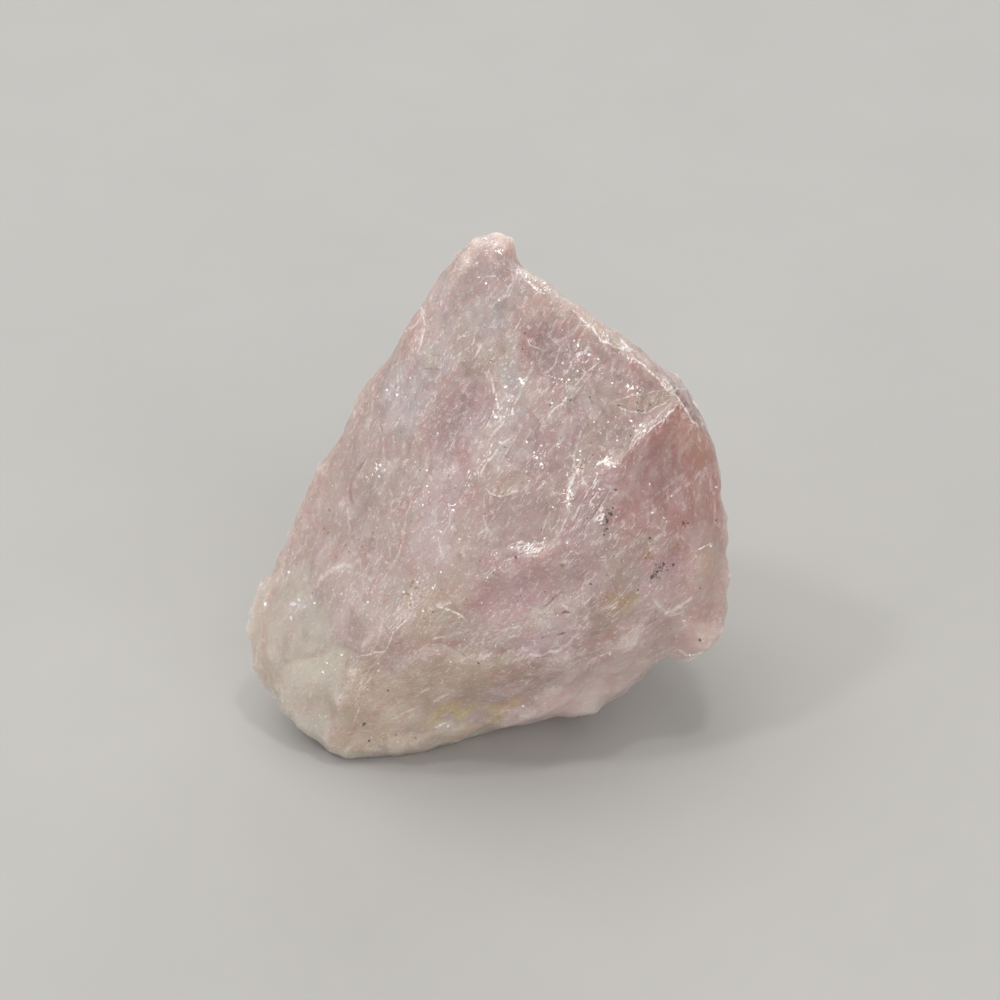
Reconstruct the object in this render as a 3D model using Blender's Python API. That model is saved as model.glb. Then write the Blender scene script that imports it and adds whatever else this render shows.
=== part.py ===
"""Rough morganite: one cloudy pink stone, broken on every side, resting on a flat patch.

The stone is drawn in the frame of its broad front face, which leans back from the upright:
u runs to the right, v up the face and w straight out of it. Corner points joined by facets
make a closed cage. The cage is divided finely, its ledges, hollows and flake scars are
carved into it, and the result is turned upright, cut flat below and thinned to a solid.
Lengths are millimetres up to the last step, which scales the mesh to metres.
"""

from math import cos, exp, radians, sin

import bmesh
import bpy
from mathutils import Matrix, Vector, geometry, noise

# Driving dimensions, in millimetres and degrees
FACE_LEAN = 35.0            # how far the front face leans back from the upright
FINE_EDGE = 0.62            # longest edge of the divided mesh, before carving
SOLID_TRIANGLES = 8800      # triangles left in the finished solid
SMOOTH_PASSES = 9           # rounds the cage's creases to about a millimetre
SMOOTH_SHARE = 0.5
SWELL = 0.28                # gives back what the rounding takes off
GRAIN_ANGLE = 57.0          # direction of the fracture grain on the front face, from +u
FLAKE_SIZE = 4.6            # across a typical flake scar
FLAKE_STRETCH = 2.0         # a scar's length over its width, along the grain
FLAKE_DEPTH = 0.5
FLAKE_SWAY = 0.25           # how far a scar's edges wander, as a share of its size
SWAY_SHIFTS = (Vector((0.0, 0.0, 0.0)), Vector((5.2, 1.3, 2.7)), Vector((9.1, 4.4, 6.8)))
LUMP_SIZE = 3.2             # across the lumps between the scars
LUMP_DEPTH = 0.28
STEP_WIDTH = 0.55           # how abruptly a broken step drops
STEP_FADE = 2.6             # over which a step dies out at its ends
FACING_GAIN = 3.0           # hollows and steps die out where a side turns edge-on
CHIP_SPACING = 2.3          # between the chips that scallop the rim
CHIP_RADIUS = 1.5
CHIP_DEPTH = 0.42
MM = 0.001

SHARP_ANGLE = 28.0          # facets that meet more steeply keep a crisp edge, in degrees
STONE_COLOUR = (0.52, 0.36, 0.34, 1.0)
BERYL_IOR = 1.58

# The outline of the front face as (u, v, w), clockwise from the tip: every facet of the
# front and of the back ends on this rim.
RIM = [
    # tip: a rounded lobe, with a nick on its right
    (0.3, 38.2, 23.0), (1.9, 38.0, 22.6), (2.7, 37.1, 22.2), (2.7, 35.4, 22.0),
    # right shoulder, long and straight
    (4.2, 34.4, 21.4), (6.1, 32.8, 20.6), (8.9, 31.3, 19.6), (11.4, 29.6, 18.6),
    (13.5, 28.0, 17.6), (16.2, 26.4, 15.6), (17.6, 24.6, 14.6), (18.8, 21.2, 13.4),
    # right side, down to a small hanging lobe
    (19.8, 17.8, 13.0), (20.9, 14.0, 12.7), (21.0, 9.4, 12.4), (20.9, 6.2, 12.2),
    (20.3, 3.6, 12.6), (18.9, 1.9, 12.8), (17.1, 0.9, 12.6), (15.8, 2.0, 11.4),
    # lower edge, sloping down to the corner that the stone stands on
    (13.7, 0.3, 10.6), (11.8, -1.5, 9.8), (8.7, -3.3, 9.2), (5.0, -3.7, 9.6),
    (0.1, -4.9, 10.2), (-4.1, -6.0, 10.8), (-8.0, -6.9, 11.0), (-10.9, -7.3, 10.8),
    (-13.5, -6.8, 10.6), (-16.6, -4.8, 10.2),
    # left lobe, a smooth swelling
    (-19.5, -1.9, 9.0), (-21.0, 0.6, 8.5), (-21.4, 4.3, 8.6), (-20.7, 7.3, 9.0),
    # left side, long and scalloped
    (-19.0, 9.4, 9.8), (-17.8, 11.6, 10.4), (-16.8, 14.6, 11.4), (-15.1, 17.8, 12.8),
    (-12.6, 21.5, 14.6), (-10.4, 25.1, 16.2), (-8.6, 27.9, 17.8), (-6.3, 31.1, 19.3),
    (-3.8, 34.5, 21.4), (-2.9, 36.3, 22.4), (-1.3, 37.4, 22.9),
]

# Crests and feet of slopes that run across the front face.
FRONT_RIDGES = {
    "brow": [
        (3.2, 34.9, 23.0), (4.8, 33.3, 23.2), (7.7, 30.9, 22.8), (10.4, 29.1, 22.4),
        (13.2, 27.2, 21.6), (15.6, 24.9, 20.4), (17.1, 22.7, 19.2), (18.4, 20.1, 17.6),
        (19.3, 17.3, 16.2), (20.0, 14.9, 14.6),
    ],
    "spine": [
        (1.1, 32.1, 24.6), (0.9, 28.4, 25.0), (1.3, 23.8, 25.3), (2.6, 19.7, 25.3),
        (0.2, 15.6, 24.7), (-3.1, 11.0, 23.5), (-6.0, 6.8, 21.9), (-8.5, 3.8, 20.2),
    ],
    "ledge": [
        (12.7, 21.4, 23.4), (10.3, 18.6, 24.8), (7.0, 16.4, 25.0), (5.5, 12.0, 24.0),
        (1.1, 9.6, 23.2),
    ],
    "ledge_foot": [
        (15.1, 21.4, 21.2), (12.7, 19.6, 22.4), (11.0, 17.1, 23.2), (9.9, 13.9, 22.6),
        (6.6, 10.6, 22.4), (2.7, 8.1, 21.9),
    ],
    "chin": [
        (-11.5, 2.4, 17.2), (-5.1, 3.3, 20.2), (-0.7, 2.6, 20.0), (3.9, 2.6, 19.8),
        (7.7, 2.9, 19.3), (12.1, 3.3, 17.8), (15.1, 4.2, 15.6),
    ],
    "lobe_edge": [(-11.6, 1.0, 16.6), (-12.8, -1.5, 14.6), (-13.8, -4.9, 11.9)],
    "lobe_top": [(-10.7, 7.2, 18.7), (-13.9, 9.4, 15.4), (-16.5, 9.9, 12.4)],
}

# Points between the ridges of the front face.
FRONT_POINTS = [
    # left slope
    (1.1, 36.7, 23.9), (-1.8, 35.3, 24.0), (0.4, 35.4, 24.4), (-3.9, 32.2, 23.2),
    (-5.6, 29.3, 22.6),
    (-3.2, 27.2, 24.0), (-7.3, 25.2, 21.4), (-9.7, 20.6, 19.4), (-11.6, 15.6, 17.6),
    (-13.0, 11.8, 15.8), (-4.7, 21.4, 23.4), (-2.7, 18.1, 24.0), (-7.3, 16.4, 21.6),
    (-9.2, 10.5, 19.6), (-5.6, 12.3, 22.4),
    # right of the spine, above the ledge
    (6.1, 28.9, 23.6), (9.4, 26.2, 23.0), (12.8, 24.8, 22.0), (6.0, 23.9, 24.6),
    (8.5, 21.4, 24.6), (4.8, 15.6, 24.8),
    # below the ledge
    (14.0, 18.1, 21.8), (17.1, 18.1, 19.0), (13.6, 13.9, 21.4), (18.0, 13.0, 17.0),
    (14.1, 9.7, 19.4), (18.2, 8.8, 16.4), (17.3, 5.8, 15.8), (14.2, 6.1, 17.6),
    (10.5, 8.0, 20.4), (18.2, 4.0, 14.9), (6.1, 7.2, 21.6), (-0.6, 6.4, 21.6),
    # lower band, turning under
    (-7.5, -1.5, 15.4), (-3.2, -1.3, 16.0), (1.5, -0.6, 16.2), (6.2, -0.2, 15.4),
    (10.5, 0.8, 13.8), (-10.0, -4.9, 12.0), (-4.1, -4.0, 12.6), (2.8, -2.7, 12.4),
    # left lobe
    (-17.0, 7.0, 13.0), (-18.0, 2.7, 12.6), (-15.9, -0.7, 13.0), (-13.8, 4.1, 15.6),
    (-14.6, -3.0, 12.0),
]


def upright(x, y, z):
    """Face frame (u, v, w) of a point given upright, as x, y and height z."""
    lean = radians(FACE_LEAN)
    return (x, y * sin(lean) + z * cos(lean), z * sin(lean) - y * cos(lean))


# The underside, drawn just below the ground so that the cut leaves a flat patch.
SUNK = -0.8
BASE_LOOP = [
    upright(x, y, SUNK)
    for x, y in [
        (-12.6, -9.4), (-9.8, -10.6), (-4.4, -8.3), (0.4, -6.2), (6.4, -3.6),
        (8.6, 1.4), (3.4, 6.6), (-6.4, 6.2), (-11.6, -0.4),
    ]
]

# Crests of the broken back, from the tip down, and the points between them.
BACK_RIDGES = {
    "back_spine": [
        upright(1.6, 7.4, 39.0), upright(2.6, 10.6, 33.0), upright(3.6, 13.6, 25.0),
        upright(1.6, 14.6, 17.0), upright(-1.6, 13.6, 8.0),
    ],
    "right_crest": [
        upright(9.6, 5.6, 31.5), upright(13.6, 7.6, 24.0), upright(15.2, 7.8, 16.0),
        upright(13.6, 6.6, 8.4),
    ],
    "left_crest": [
        upright(-5.2, 6.4, 31.0), upright(-9.6, 8.2, 23.0), upright(-13.4, 7.6, 14.0),
        upright(-14.6, 4.6, 6.4),
    ],
}
BACK_POINTS = [
    upright(-2.0, 9.4, 28.0), upright(-5.4, 11.6, 17.0), upright(-8.6, 10.4, 7.6),
    upright(9.4, 10.4, 22.0), upright(9.6, 11.2, 11.6), upright(5.6, 11.6, 5.2),
    upright(17.4, 1.2, 12.6), upright(14.4, -1.6, 6.2), upright(17.6, 3.4, 20.2),
    upright(11.4, -4.2, 3.2), upright(-17.4, 1.4, 9.6), upright(-16.0, -3.4, 4.2),
    upright(6.4, 7.6, 35.0), upright(-12.6, 3.2, 22.0),
    (0.9, 36.6, 20.4), (18.0, 3.2, 10.6), (-18.8, 4.4, 6.4),
    # rounding under, just above the flat patch
    upright(-14.0, -4.4, 1.6), upright(-12.4, 4.6, 2.2), upright(-5.6, 9.4, 2.0),
    upright(4.4, 9.4, 1.8), upright(10.6, 4.0, 1.7), upright(10.4, -2.6, 1.3),
]


# Hollows that broke out of each side: centre (u, v), half length, half width, direction
# from +u, and depth.
FRONT_HOLLOWS = {
    "upper hollow": ((-2.6, 22.4), 4.6, 2.6, 62.0, 0.7),
    "shoulder hollow": ((5.9, 28.3), 3.4, 2.4, 70.0, 0.7),
    "middle hollow": ((2.4, 8.4), 3.8, 2.6, 20.0, 0.8),
    "dish under the ledge": ((14.6, 17.6), 3.6, 3.2, 40.0, 0.6),
    "dish on the right": ((15.6, 9.0), 2.6, 2.0, 80.0, 0.5),
    "left dish": ((-10.6, 15.0), 3.6, 1.5, 64.0, 0.5),
    "dish on the lobe": ((-16.6, 3.0), 3.2, 2.2, 75.0, 0.35),
    "band dish": ((-2.4, -1.9), 4.0, 1.6, 12.0, 0.45),
    "band dish, right": ((8.6, -0.6), 3.0, 1.5, 25.0, 0.5),
    "tip dish": ((-0.6, 34.2), 1.8, 1.3, 60.0, 0.35),
}
BACK_HOLLOWS = {
    "high scar": ((-2.4, 27.0), 5.4, 2.6, 75.0, 0.9),
    "broad scar": ((9.6, 20.6), 5.0, 3.4, 40.0, 0.8),
    "left scar": ((-9.6, 13.8), 4.4, 3.0, 60.0, 0.7),
    "low scar": ((12.0, 9.6), 3.8, 2.8, 15.0, 0.7),
    "heel scar": ((-3.0, 12.6), 4.0, 2.2, 100.0, 0.6),
}

# Broken steps on each side: the line of the step's crest in (u, v), with the low side on
# the right hand of its direction, how far it drops, and how far the drop reaches.
FRONT_STEPS = {
    "main ledge": ([(16.4, 24.4), (12.8, 21.6), (10.5, 18.7), (7.1, 16.5), (5.6, 12.2),
                    (1.2, 9.7), (-1.6, 8.3)], 0.75, 3.0),
    "side of the spine": ([(2.2, 33.6), (1.9, 29.4), (2.6, 25.8), (4.4, 22.0),
                           (5.0, 18.2)], 0.45, 1.6),
    "edge of the upper hollow": ([(-5.2, 19.0), (-3.4, 22.6), (-0.6, 26.6)], 0.2, 2.0),
    "lower ridge": ([(15.2, 4.4), (10.0, 2.9), (5.0, 2.2), (-0.6, 2.2), (-5.0, 2.9),
                     (-9.4, 1.6)], 0.5, 1.4),
    "edge of the lobe": ([(-8.6, 5.2), (-11.4, 1.9), (-12.6, -1.4), (-13.8, -5.4)],
                         0.5, 1.8),
    "left crack": ([(-12.4, 13.2), (-11.6, 16.6), (-10.0, 19.8), (-8.8, 23.0)], 0.4, 1.2),
    "low scar": ([(9.0, 8.8), (5.6, 6.8), (1.4, 5.6), (-3.0, 5.6)], 0.35, 1.3),
}
BACK_STEPS = {
    "long back ledge": ([(-13.4, 17.6), (-8.0, 19.0), (-3.0, 22.6), (1.0, 28.4)], 0.8, 2.6),
    "right back ledge": ([(5.4, 15.0), (9.4, 14.6), (14.0, 16.8), (17.2, 17.6)], 0.7, 2.2),
    "high back ledge": ([(5.0, 31.0), (4.6, 26.6), (6.6, 22.0)], 0.6, 1.8),
    "low back ledge": ([(-13.6, 8.4), (-8.4, 9.6), (-4.2, 7.4), (2.0, 8.8)], 0.5, 1.6),
}


def constrained_sheet(rim, ridges, points, closed_ridges=()):
    """Join a rim, ridge lines and loose points into triangles, working in u and v."""
    corners = list(rim)
    edges = [(i, (i + 1) % len(rim)) for i in range(len(rim))]
    for ridge in ridges:
        start = len(corners)
        corners += ridge
        edges += [(start + i, start + i + 1) for i in range(len(ridge) - 1)]
    for loop in closed_ridges:
        start = len(corners)
        corners += loop
        edges += [(start + i, start + (i + 1) % len(loop)) for i in range(len(loop))]
    corners += points
    flat = [Vector((u, v)) for u, v, w in corners]
    inside_constraints = 1
    found = geometry.delaunay_2d_cdt(flat, edges, [], inside_constraints, 1e-5)
    faces, sources = found[2], found[3]
    if any(len(source) != 1 for source in sources):
        raise ValueError("ridges cross or points coincide")
    return corners, [[sources[i][0] for i in face] for face in faces]


def build_cage():
    """Close the front and the back sheet along the rim that they share."""
    front, front_faces = constrained_sheet(RIM, FRONT_RIDGES.values(), FRONT_POINTS)
    back, back_faces = constrained_sheet(RIM, BACK_RIDGES.values(), BACK_POINTS, [BASE_LOOP])
    mesh = bmesh.new()
    front_verts = [mesh.verts.new(corner) for corner in front]
    rim_count = len(RIM)
    back_verts = front_verts[:rim_count] + [mesh.verts.new(c) for c in back[rim_count:]]
    for face in front_faces:
        mesh.faces.new([front_verts[i] for i in face])
    for face in back_faces:
        mesh.faces.new([back_verts[i] for i in reversed(face)])
    bmesh.ops.recalc_face_normals(mesh, faces=mesh.faces)
    return mesh


def divide(mesh, longest):
    """Halve every edge longer than the limit until none is left."""
    while True:
        long_edges = [edge for edge in mesh.edges if edge.calc_length() > longest]
        if not long_edges:
            return
        bmesh.ops.subdivide_edges(mesh, edges=long_edges, cuts=1, use_grid_fill=False)
        bmesh.ops.triangulate(mesh, faces=mesh.faces, quad_method="SHORT_EDGE")


def soften(mesh):
    """Ease the cage's creases without losing its planes."""
    for _ in range(SMOOTH_PASSES):
        bmesh.ops.smooth_vert(
            mesh, verts=mesh.verts, factor=SMOOTH_SHARE,
            use_axis_x=True, use_axis_y=True, use_axis_z=True,
        )


def hollow_depth(u, v, hollows):
    """Depth of the named hollows below the surface at (u, v)."""
    depth = 0.0
    for (u0, v0), half_length, half_width, angle, deepest in hollows.values():
        turn = radians(angle)
        along = (u - u0) * cos(turn) + (v - v0) * sin(turn)
        across = (v - v0) * cos(turn) - (u - u0) * sin(turn)
        wobble = 0.22 * noise.noise(Vector((u * 0.9, v * 0.9, deepest * 40.0)))
        reach = (along / half_length) ** 2 + (across / half_width) ** 2 + wobble
        if reach < 1.0:
            depth += deepest * (1.0 - reach)
    return depth


def step_depth(u, v, steps):
    """Depth of the broken steps below the surface at (u, v)."""
    depth = 0.0
    for line, drop, reach in steps.values():
        sway_u = 0.5 * noise.noise(Vector((u * 0.45, v * 0.45, drop * 50.0)))
        sway_v = 0.5 * noise.noise(Vector((u * 0.45, v * 0.45, drop * 90.0)))
        at = Vector((u + sway_u, v + sway_v))
        nearest, low_side = None, False
        for start, end in zip(line, line[1:]):
            start, run = Vector(start), Vector(end) - Vector(start)
            share = (at - start).dot(run) / run.length_squared
            away = (at - start - run * min(1.0, max(0.0, share))).length
            if nearest is None or away < nearest:
                nearest = away
                low_side = run.cross(at - start) < 0.0
        to_end = min((at - Vector(line[0])).length, (at - Vector(line[-1])).length)
        if low_side:
            onset = min(1.0, nearest / STEP_WIDTH)
            fade = min(1.0, to_end / STEP_FADE)
            depth += drop * onset * fade * exp(-max(0.0, nearest - STEP_WIDTH) / reach)
    return depth


def grain_space(point, size, stretch):
    """The point in a space that is stretched along the fracture grain."""
    turn = radians(GRAIN_ANGLE)
    along = point.x * cos(turn) + point.y * sin(turn)
    across = point.y * cos(turn) - point.x * sin(turn)
    return Vector((along / (size * stretch), across / size, point.z / size))


def flake_height(point):
    """Shallow bowls with crisp crests between them, like the scars of flaked stone."""
    place = grain_space(point, FLAKE_SIZE, FLAKE_STRETCH)
    wave = place * 1.3
    sway = [FLAKE_SWAY * noise.noise(wave + shift) for shift in SWAY_SHIFTS]
    nearest = noise.voronoi(place + Vector(sway))[0][0]
    return FLAKE_DEPTH * (min(nearest, 0.9) ** 1.6 - 0.35)


def lump_height(point):
    """Uneven lumps of several sizes."""
    place = grain_space(point, LUMP_SIZE, 1.5)
    return LUMP_DEPTH * noise.fractal(place + Vector((7.3, 1.9, 4.1)), 0.9, 2.1, 4)


def chip_places():
    """Points along the rim, unevenly spaced, where small chips have broken off."""
    places = []
    travelled = 0.0
    next_chip = 0.0
    for start, end in zip(RIM, RIM[1:] + RIM[:1]):
        start, end = Vector(start), Vector(end)
        length = (end - start).length
        while next_chip < travelled + length:
            share = (next_chip - travelled) / length
            places.append(start.lerp(end, share))
            uneven = 1.0 + 0.6 * noise.noise(Vector((len(places) * 1.37, 0.4, 0.9)))
            next_chip += CHIP_SPACING * uneven
        travelled += length
    return places


def chip_depth(point, places):
    """Depth of the rim's chips at a point."""
    depth = 0.0
    for number, place in enumerate(places):
        size = 1.0 + 0.7 * noise.noise(Vector((number * 2.61, 8.4, 3.3)))
        away = (point - place).length / (CHIP_RADIUS * size)
        if away < 1.0:
            depth = max(depth, CHIP_DEPTH * size * (1.0 - away ** 2))
    return depth


def carve(mesh):
    """Push every point in or out along its normal to make the broken surface."""
    places = chip_places()
    moves = []
    for vert in mesh.verts:
        point = vert.co
        height = SWELL + flake_height(point) + lump_height(point) - chip_depth(point, places)
        front = vert.normal.z > 0.0
        hollows = FRONT_HOLLOWS if front else BACK_HOLLOWS
        steps = FRONT_STEPS if front else BACK_STEPS
        facing = min(1.0, abs(vert.normal.z) * FACING_GAIN)
        height -= facing * hollow_depth(point.x, point.y, hollows)
        height -= facing * step_depth(point.x, point.y, steps)
        moves.append(vert.normal * height)
    for vert, move in zip(mesh.verts, moves):
        vert.co += move


def to_upright():
    """Turn from the face frame to the upright frame."""
    lean = radians(FACE_LEAN)
    return Matrix((
        (1.0, 0.0, 0.0, 0.0),
        (0.0, sin(lean), -cos(lean), 0.0),
        (0.0, cos(lean), sin(lean), 0.0),
        (0.0, 0.0, 0.0, 1.0),
    ))


def cut_flat(mesh):
    """Cut the stone level at the ground and close the cut with one flat face."""
    geometry_in = mesh.verts[:] + mesh.edges[:] + mesh.faces[:]
    cut = bmesh.ops.bisect_plane(
        mesh, geom=geometry_in, dist=1e-5, plane_co=(0, 0, 0), plane_no=(0, 0, 1),
        clear_inner=True,
    )
    edge_loop = [item for item in cut["geom_cut"] if isinstance(item, bmesh.types.BMEdge)]
    bmesh.ops.holes_fill(mesh, edges=edge_loop, sides=0)
    bmesh.ops.triangulate(mesh, faces=mesh.faces)


def centre(mesh):
    """Put the origin at the middle of the bounding box, on the ground."""
    across = [vert.co.x for vert in mesh.verts]
    back = [vert.co.y for vert in mesh.verts]
    middle = Vector((min(across) + max(across), min(back) + max(back), 0.0)) / 2.0
    for vert in mesh.verts:
        vert.co -= middle


def thinned(mesh):
    """The mesh with its flatter parts thinned, down to the solid's number of triangles."""
    data = bpy.data.meshes.new("carved")
    mesh.to_mesh(data)
    carved = bpy.data.objects.new("carved", data)
    bpy.context.scene.collection.objects.link(carved)
    thin = carved.modifiers.new("thin", "DECIMATE")
    thin.ratio = SOLID_TRIANGLES / len(data.polygons)
    graph = bpy.context.evaluated_depsgraph_get()
    thin_mesh = bmesh.new()
    thin_mesh.from_object(carved, graph)
    bpy.data.objects.remove(carved, do_unlink=True)
    return thin_mesh


def stone_material():
    """Cloudy pink beryl with a broken, satin to glassy surface."""
    material = bpy.data.materials.new("cloudy_beryl")
    material.use_nodes = True
    shader = material.node_tree.nodes["Principled BSDF"]
    shader.inputs["Base Color"].default_value = STONE_COLOUR
    shader.inputs["Roughness"].default_value = 0.35
    shader.inputs["IOR"].default_value = BERYL_IOR
    shader.inputs["Metallic"].default_value = 0.0
    return material


def main():
    for thing in list(bpy.data.objects):
        bpy.data.objects.remove(thing, do_unlink=True)
    cage = build_cage()
    divide(cage, FINE_EDGE)
    soften(cage)
    cage.normal_update()
    carve(cage)
    cage.transform(to_upright())
    mesh = thinned(cage)
    cage.free()
    cut_flat(mesh)
    centre(mesh)
    mesh.transform(Matrix.Scale(MM, 4))
    data = bpy.data.meshes.new("morganite")
    mesh.to_mesh(data)
    mesh.free()
    data.materials.append(stone_material())
    data.shade_smooth()
    data.set_sharp_from_angle(angle=radians(SHARP_ANGLE))
    stone = bpy.data.objects.new("morganite", data)
    bpy.context.scene.collection.objects.link(stone)


main()
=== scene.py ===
"""Looks of the rough morganite: a cloudy, slightly translucent pink stone on a pale floor.

The solid's mesh is made finer, and small flake scars, broken steps, fracture grain and, on
the back, flat chips are carved into it. Its colour is laid in as named clouds, sharp-sided
facets, hairlines, specks and painted glints, with some painted light and shade. They lie in
the frame of the broad front face, in millimetres: u runs to the right, v up the face and w
out of it. Those of the front are given on a chart of that face, and the script turns them
into u and v. The shader adds the fine veils, fibres and painted sparkle.
"""

import random
from math import cos, degrees, floor, hypot, radians, sin

import bmesh
import bpy
import numpy as np
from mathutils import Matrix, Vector, noise


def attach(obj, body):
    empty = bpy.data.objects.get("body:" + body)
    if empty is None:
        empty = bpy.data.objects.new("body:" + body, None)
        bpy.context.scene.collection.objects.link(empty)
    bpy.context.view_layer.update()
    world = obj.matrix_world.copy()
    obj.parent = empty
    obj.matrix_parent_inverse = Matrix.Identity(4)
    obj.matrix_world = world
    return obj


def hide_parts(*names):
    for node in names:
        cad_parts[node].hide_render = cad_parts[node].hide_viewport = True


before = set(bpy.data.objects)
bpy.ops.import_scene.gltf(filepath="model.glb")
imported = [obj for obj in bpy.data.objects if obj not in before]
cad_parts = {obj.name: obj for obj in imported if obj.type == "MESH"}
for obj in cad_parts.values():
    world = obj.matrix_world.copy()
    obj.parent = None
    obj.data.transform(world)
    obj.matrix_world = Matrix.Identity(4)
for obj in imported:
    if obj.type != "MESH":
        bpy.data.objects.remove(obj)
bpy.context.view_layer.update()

# Lengths are in millimetres unless they are said to be in metres.
MM = 0.001
FACE_LEAN = radians(35.0)       # the front face leans back this far from the upright
GRAIN = radians(57.0)           # direction of the fracture grain on the front face, from +u
LOW_GRAIN = radians(38.0)       # the same low down and to the right, where the grain turns
LOW_GRAIN_RISE = 0.6            # it is turned below a line that rises this steeply,
LOW_GRAIN_FADE = 12.0           # and the turn fades out this far above the line
GRAIN_PIVOT = (6.0, 9.0)        # the u and v that the grain turns about

COLOUR_DEPTH = 0.89             # deepens the painted colours against the white marks
RICHNESS = 1.02                 # moves them away from grey
CROWN_PAINTED_SHADE = 0.14              # painted shade: the front is this much deeper in colour at the crown, where the light from above falls brightest,
CROWN_SHADE_RISE = (4.0, 36.0)        # and this painted shade grows between these heights v
FRONT_FADE = (0.0, 0.45)        # the front's marks fade out as the surface turns this far away
CLOUD_FADE = (0.75, 1.20)       # a cloud fades out between these shares of its size
PATCH_FADE = (0.5, 1.35)        # and other patches between these
SIZE_POWER = 0.3                # larger sizes count for more in patchy noise, by this power

VOXEL = 0.256                   # spacing of the fine mesh's points
WELD = 1e-7                     # the solid's points closer than this, in metres, are one
EASE_PASSES = 4                 # takes the solid's facets off before carving
WORN_PASSES = 80                # takes the sharpness off where the stone is worn
RIM_PASSES = 30                 # tells the sharp edges that are given painted light, as if light came through them
RIDGE_PASSES = 3                # tells the little ridges of the carved relief
QUIET_RELIEF = 0.25             # share of the relief that smooth places keep
QUIET_CHIPS = 0.4               # share of the chips' depth that they keep
BACK_DEPTH = 1.7                # the back's relief is this many times as deep
BACK_CHIP = 5.0                 # the back is split in flat chips about this wide
BACK_CHIP_SLOPE = 0.085         # that slope about this steeply
FLAT_FOOT = 0.5                 # the relief fades out over this height above the ground

FAR = 50.0                      # stands for "nowhere near a mark"
LINE_REACH = 0.8                # a hairline is looked for this far from a point
LINE_FADE = (0.45, 0.75)        # and is given up between these distances
END_FADE = (0.05, 0.3)          # past its ends it is given up between these
LINE_TIP = 0.25                 # share of its strength that a hairline has at its tips,
LINE_TAPER = 5.0                # and what it gains from there, for a whole length
SPOT_REACH = 0.75               # a speck is looked for this far from a point
SPECK_TURN = 2.4                # each speck is turned this much further than the last
SLIMNESS = {"dark_specks": 1.2, "rust_specks": 1.25, "glints": 1.2, "rainbows": 1.3}


# ---------------------------------------------------------------- colours and marks

def srgb(red, green, blue):
    """A colour given as 0 to 255 on screen, as the linear value that a shader takes."""
    channels = [channel / 255.0 for channel in (red, green, blue)]
    return tuple(
        c / 12.92 if c <= 0.04045 else ((c + 0.055) / 1.055) ** 2.4 for c in channels
    )


COLOURS = {
    "body": srgb(182, 162, 156),
    "grey_rose": srgb(170, 163, 164),
    "cream": srgb(173, 160, 152),
    "milk": srgb(178, 171, 170),
    "rose": srgb(169, 145, 144),
    "blush": srgb(188, 166, 162),
    "salmon": srgb(173, 133, 129),
    "ember": srgb(180, 137, 120),
    "olive_cream": srgb(176, 160, 144),
    "shell": srgb(181, 165, 160),
    "ivory": srgb(184, 176, 166),
    "green_white": srgb(196, 191, 178),
    "lilac": srgb(180, 150, 151),
    "lilac_white": srgb(196, 181, 183),
    "smoke": srgb(162, 141, 130),
    "sand": srgb(183, 167, 149),
    "honey": srgb(189, 170, 127),
    "peach": srgb(188, 163, 148),
    # painted dark reflection, for the thin strip at the right
    "dusk": srgb(128, 108, 104),
}

# The marks of the front face are laid out on a square chart of it, 1000 units a side with y
# running down, as the face is seen square on from SIGHT_DISTANCE. Slants are in degrees.
CHART_UNIT = 0.0896             # millimetres at the chart's middle
CHART_MIDDLE = 500.0
CHART_CENTRE = (1.16, 15.72, -0.19)     # u, v and w of the chart's middle
SIGHT_DISTANCE = 320.0          # from the chart's middle, in millimetres
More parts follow.
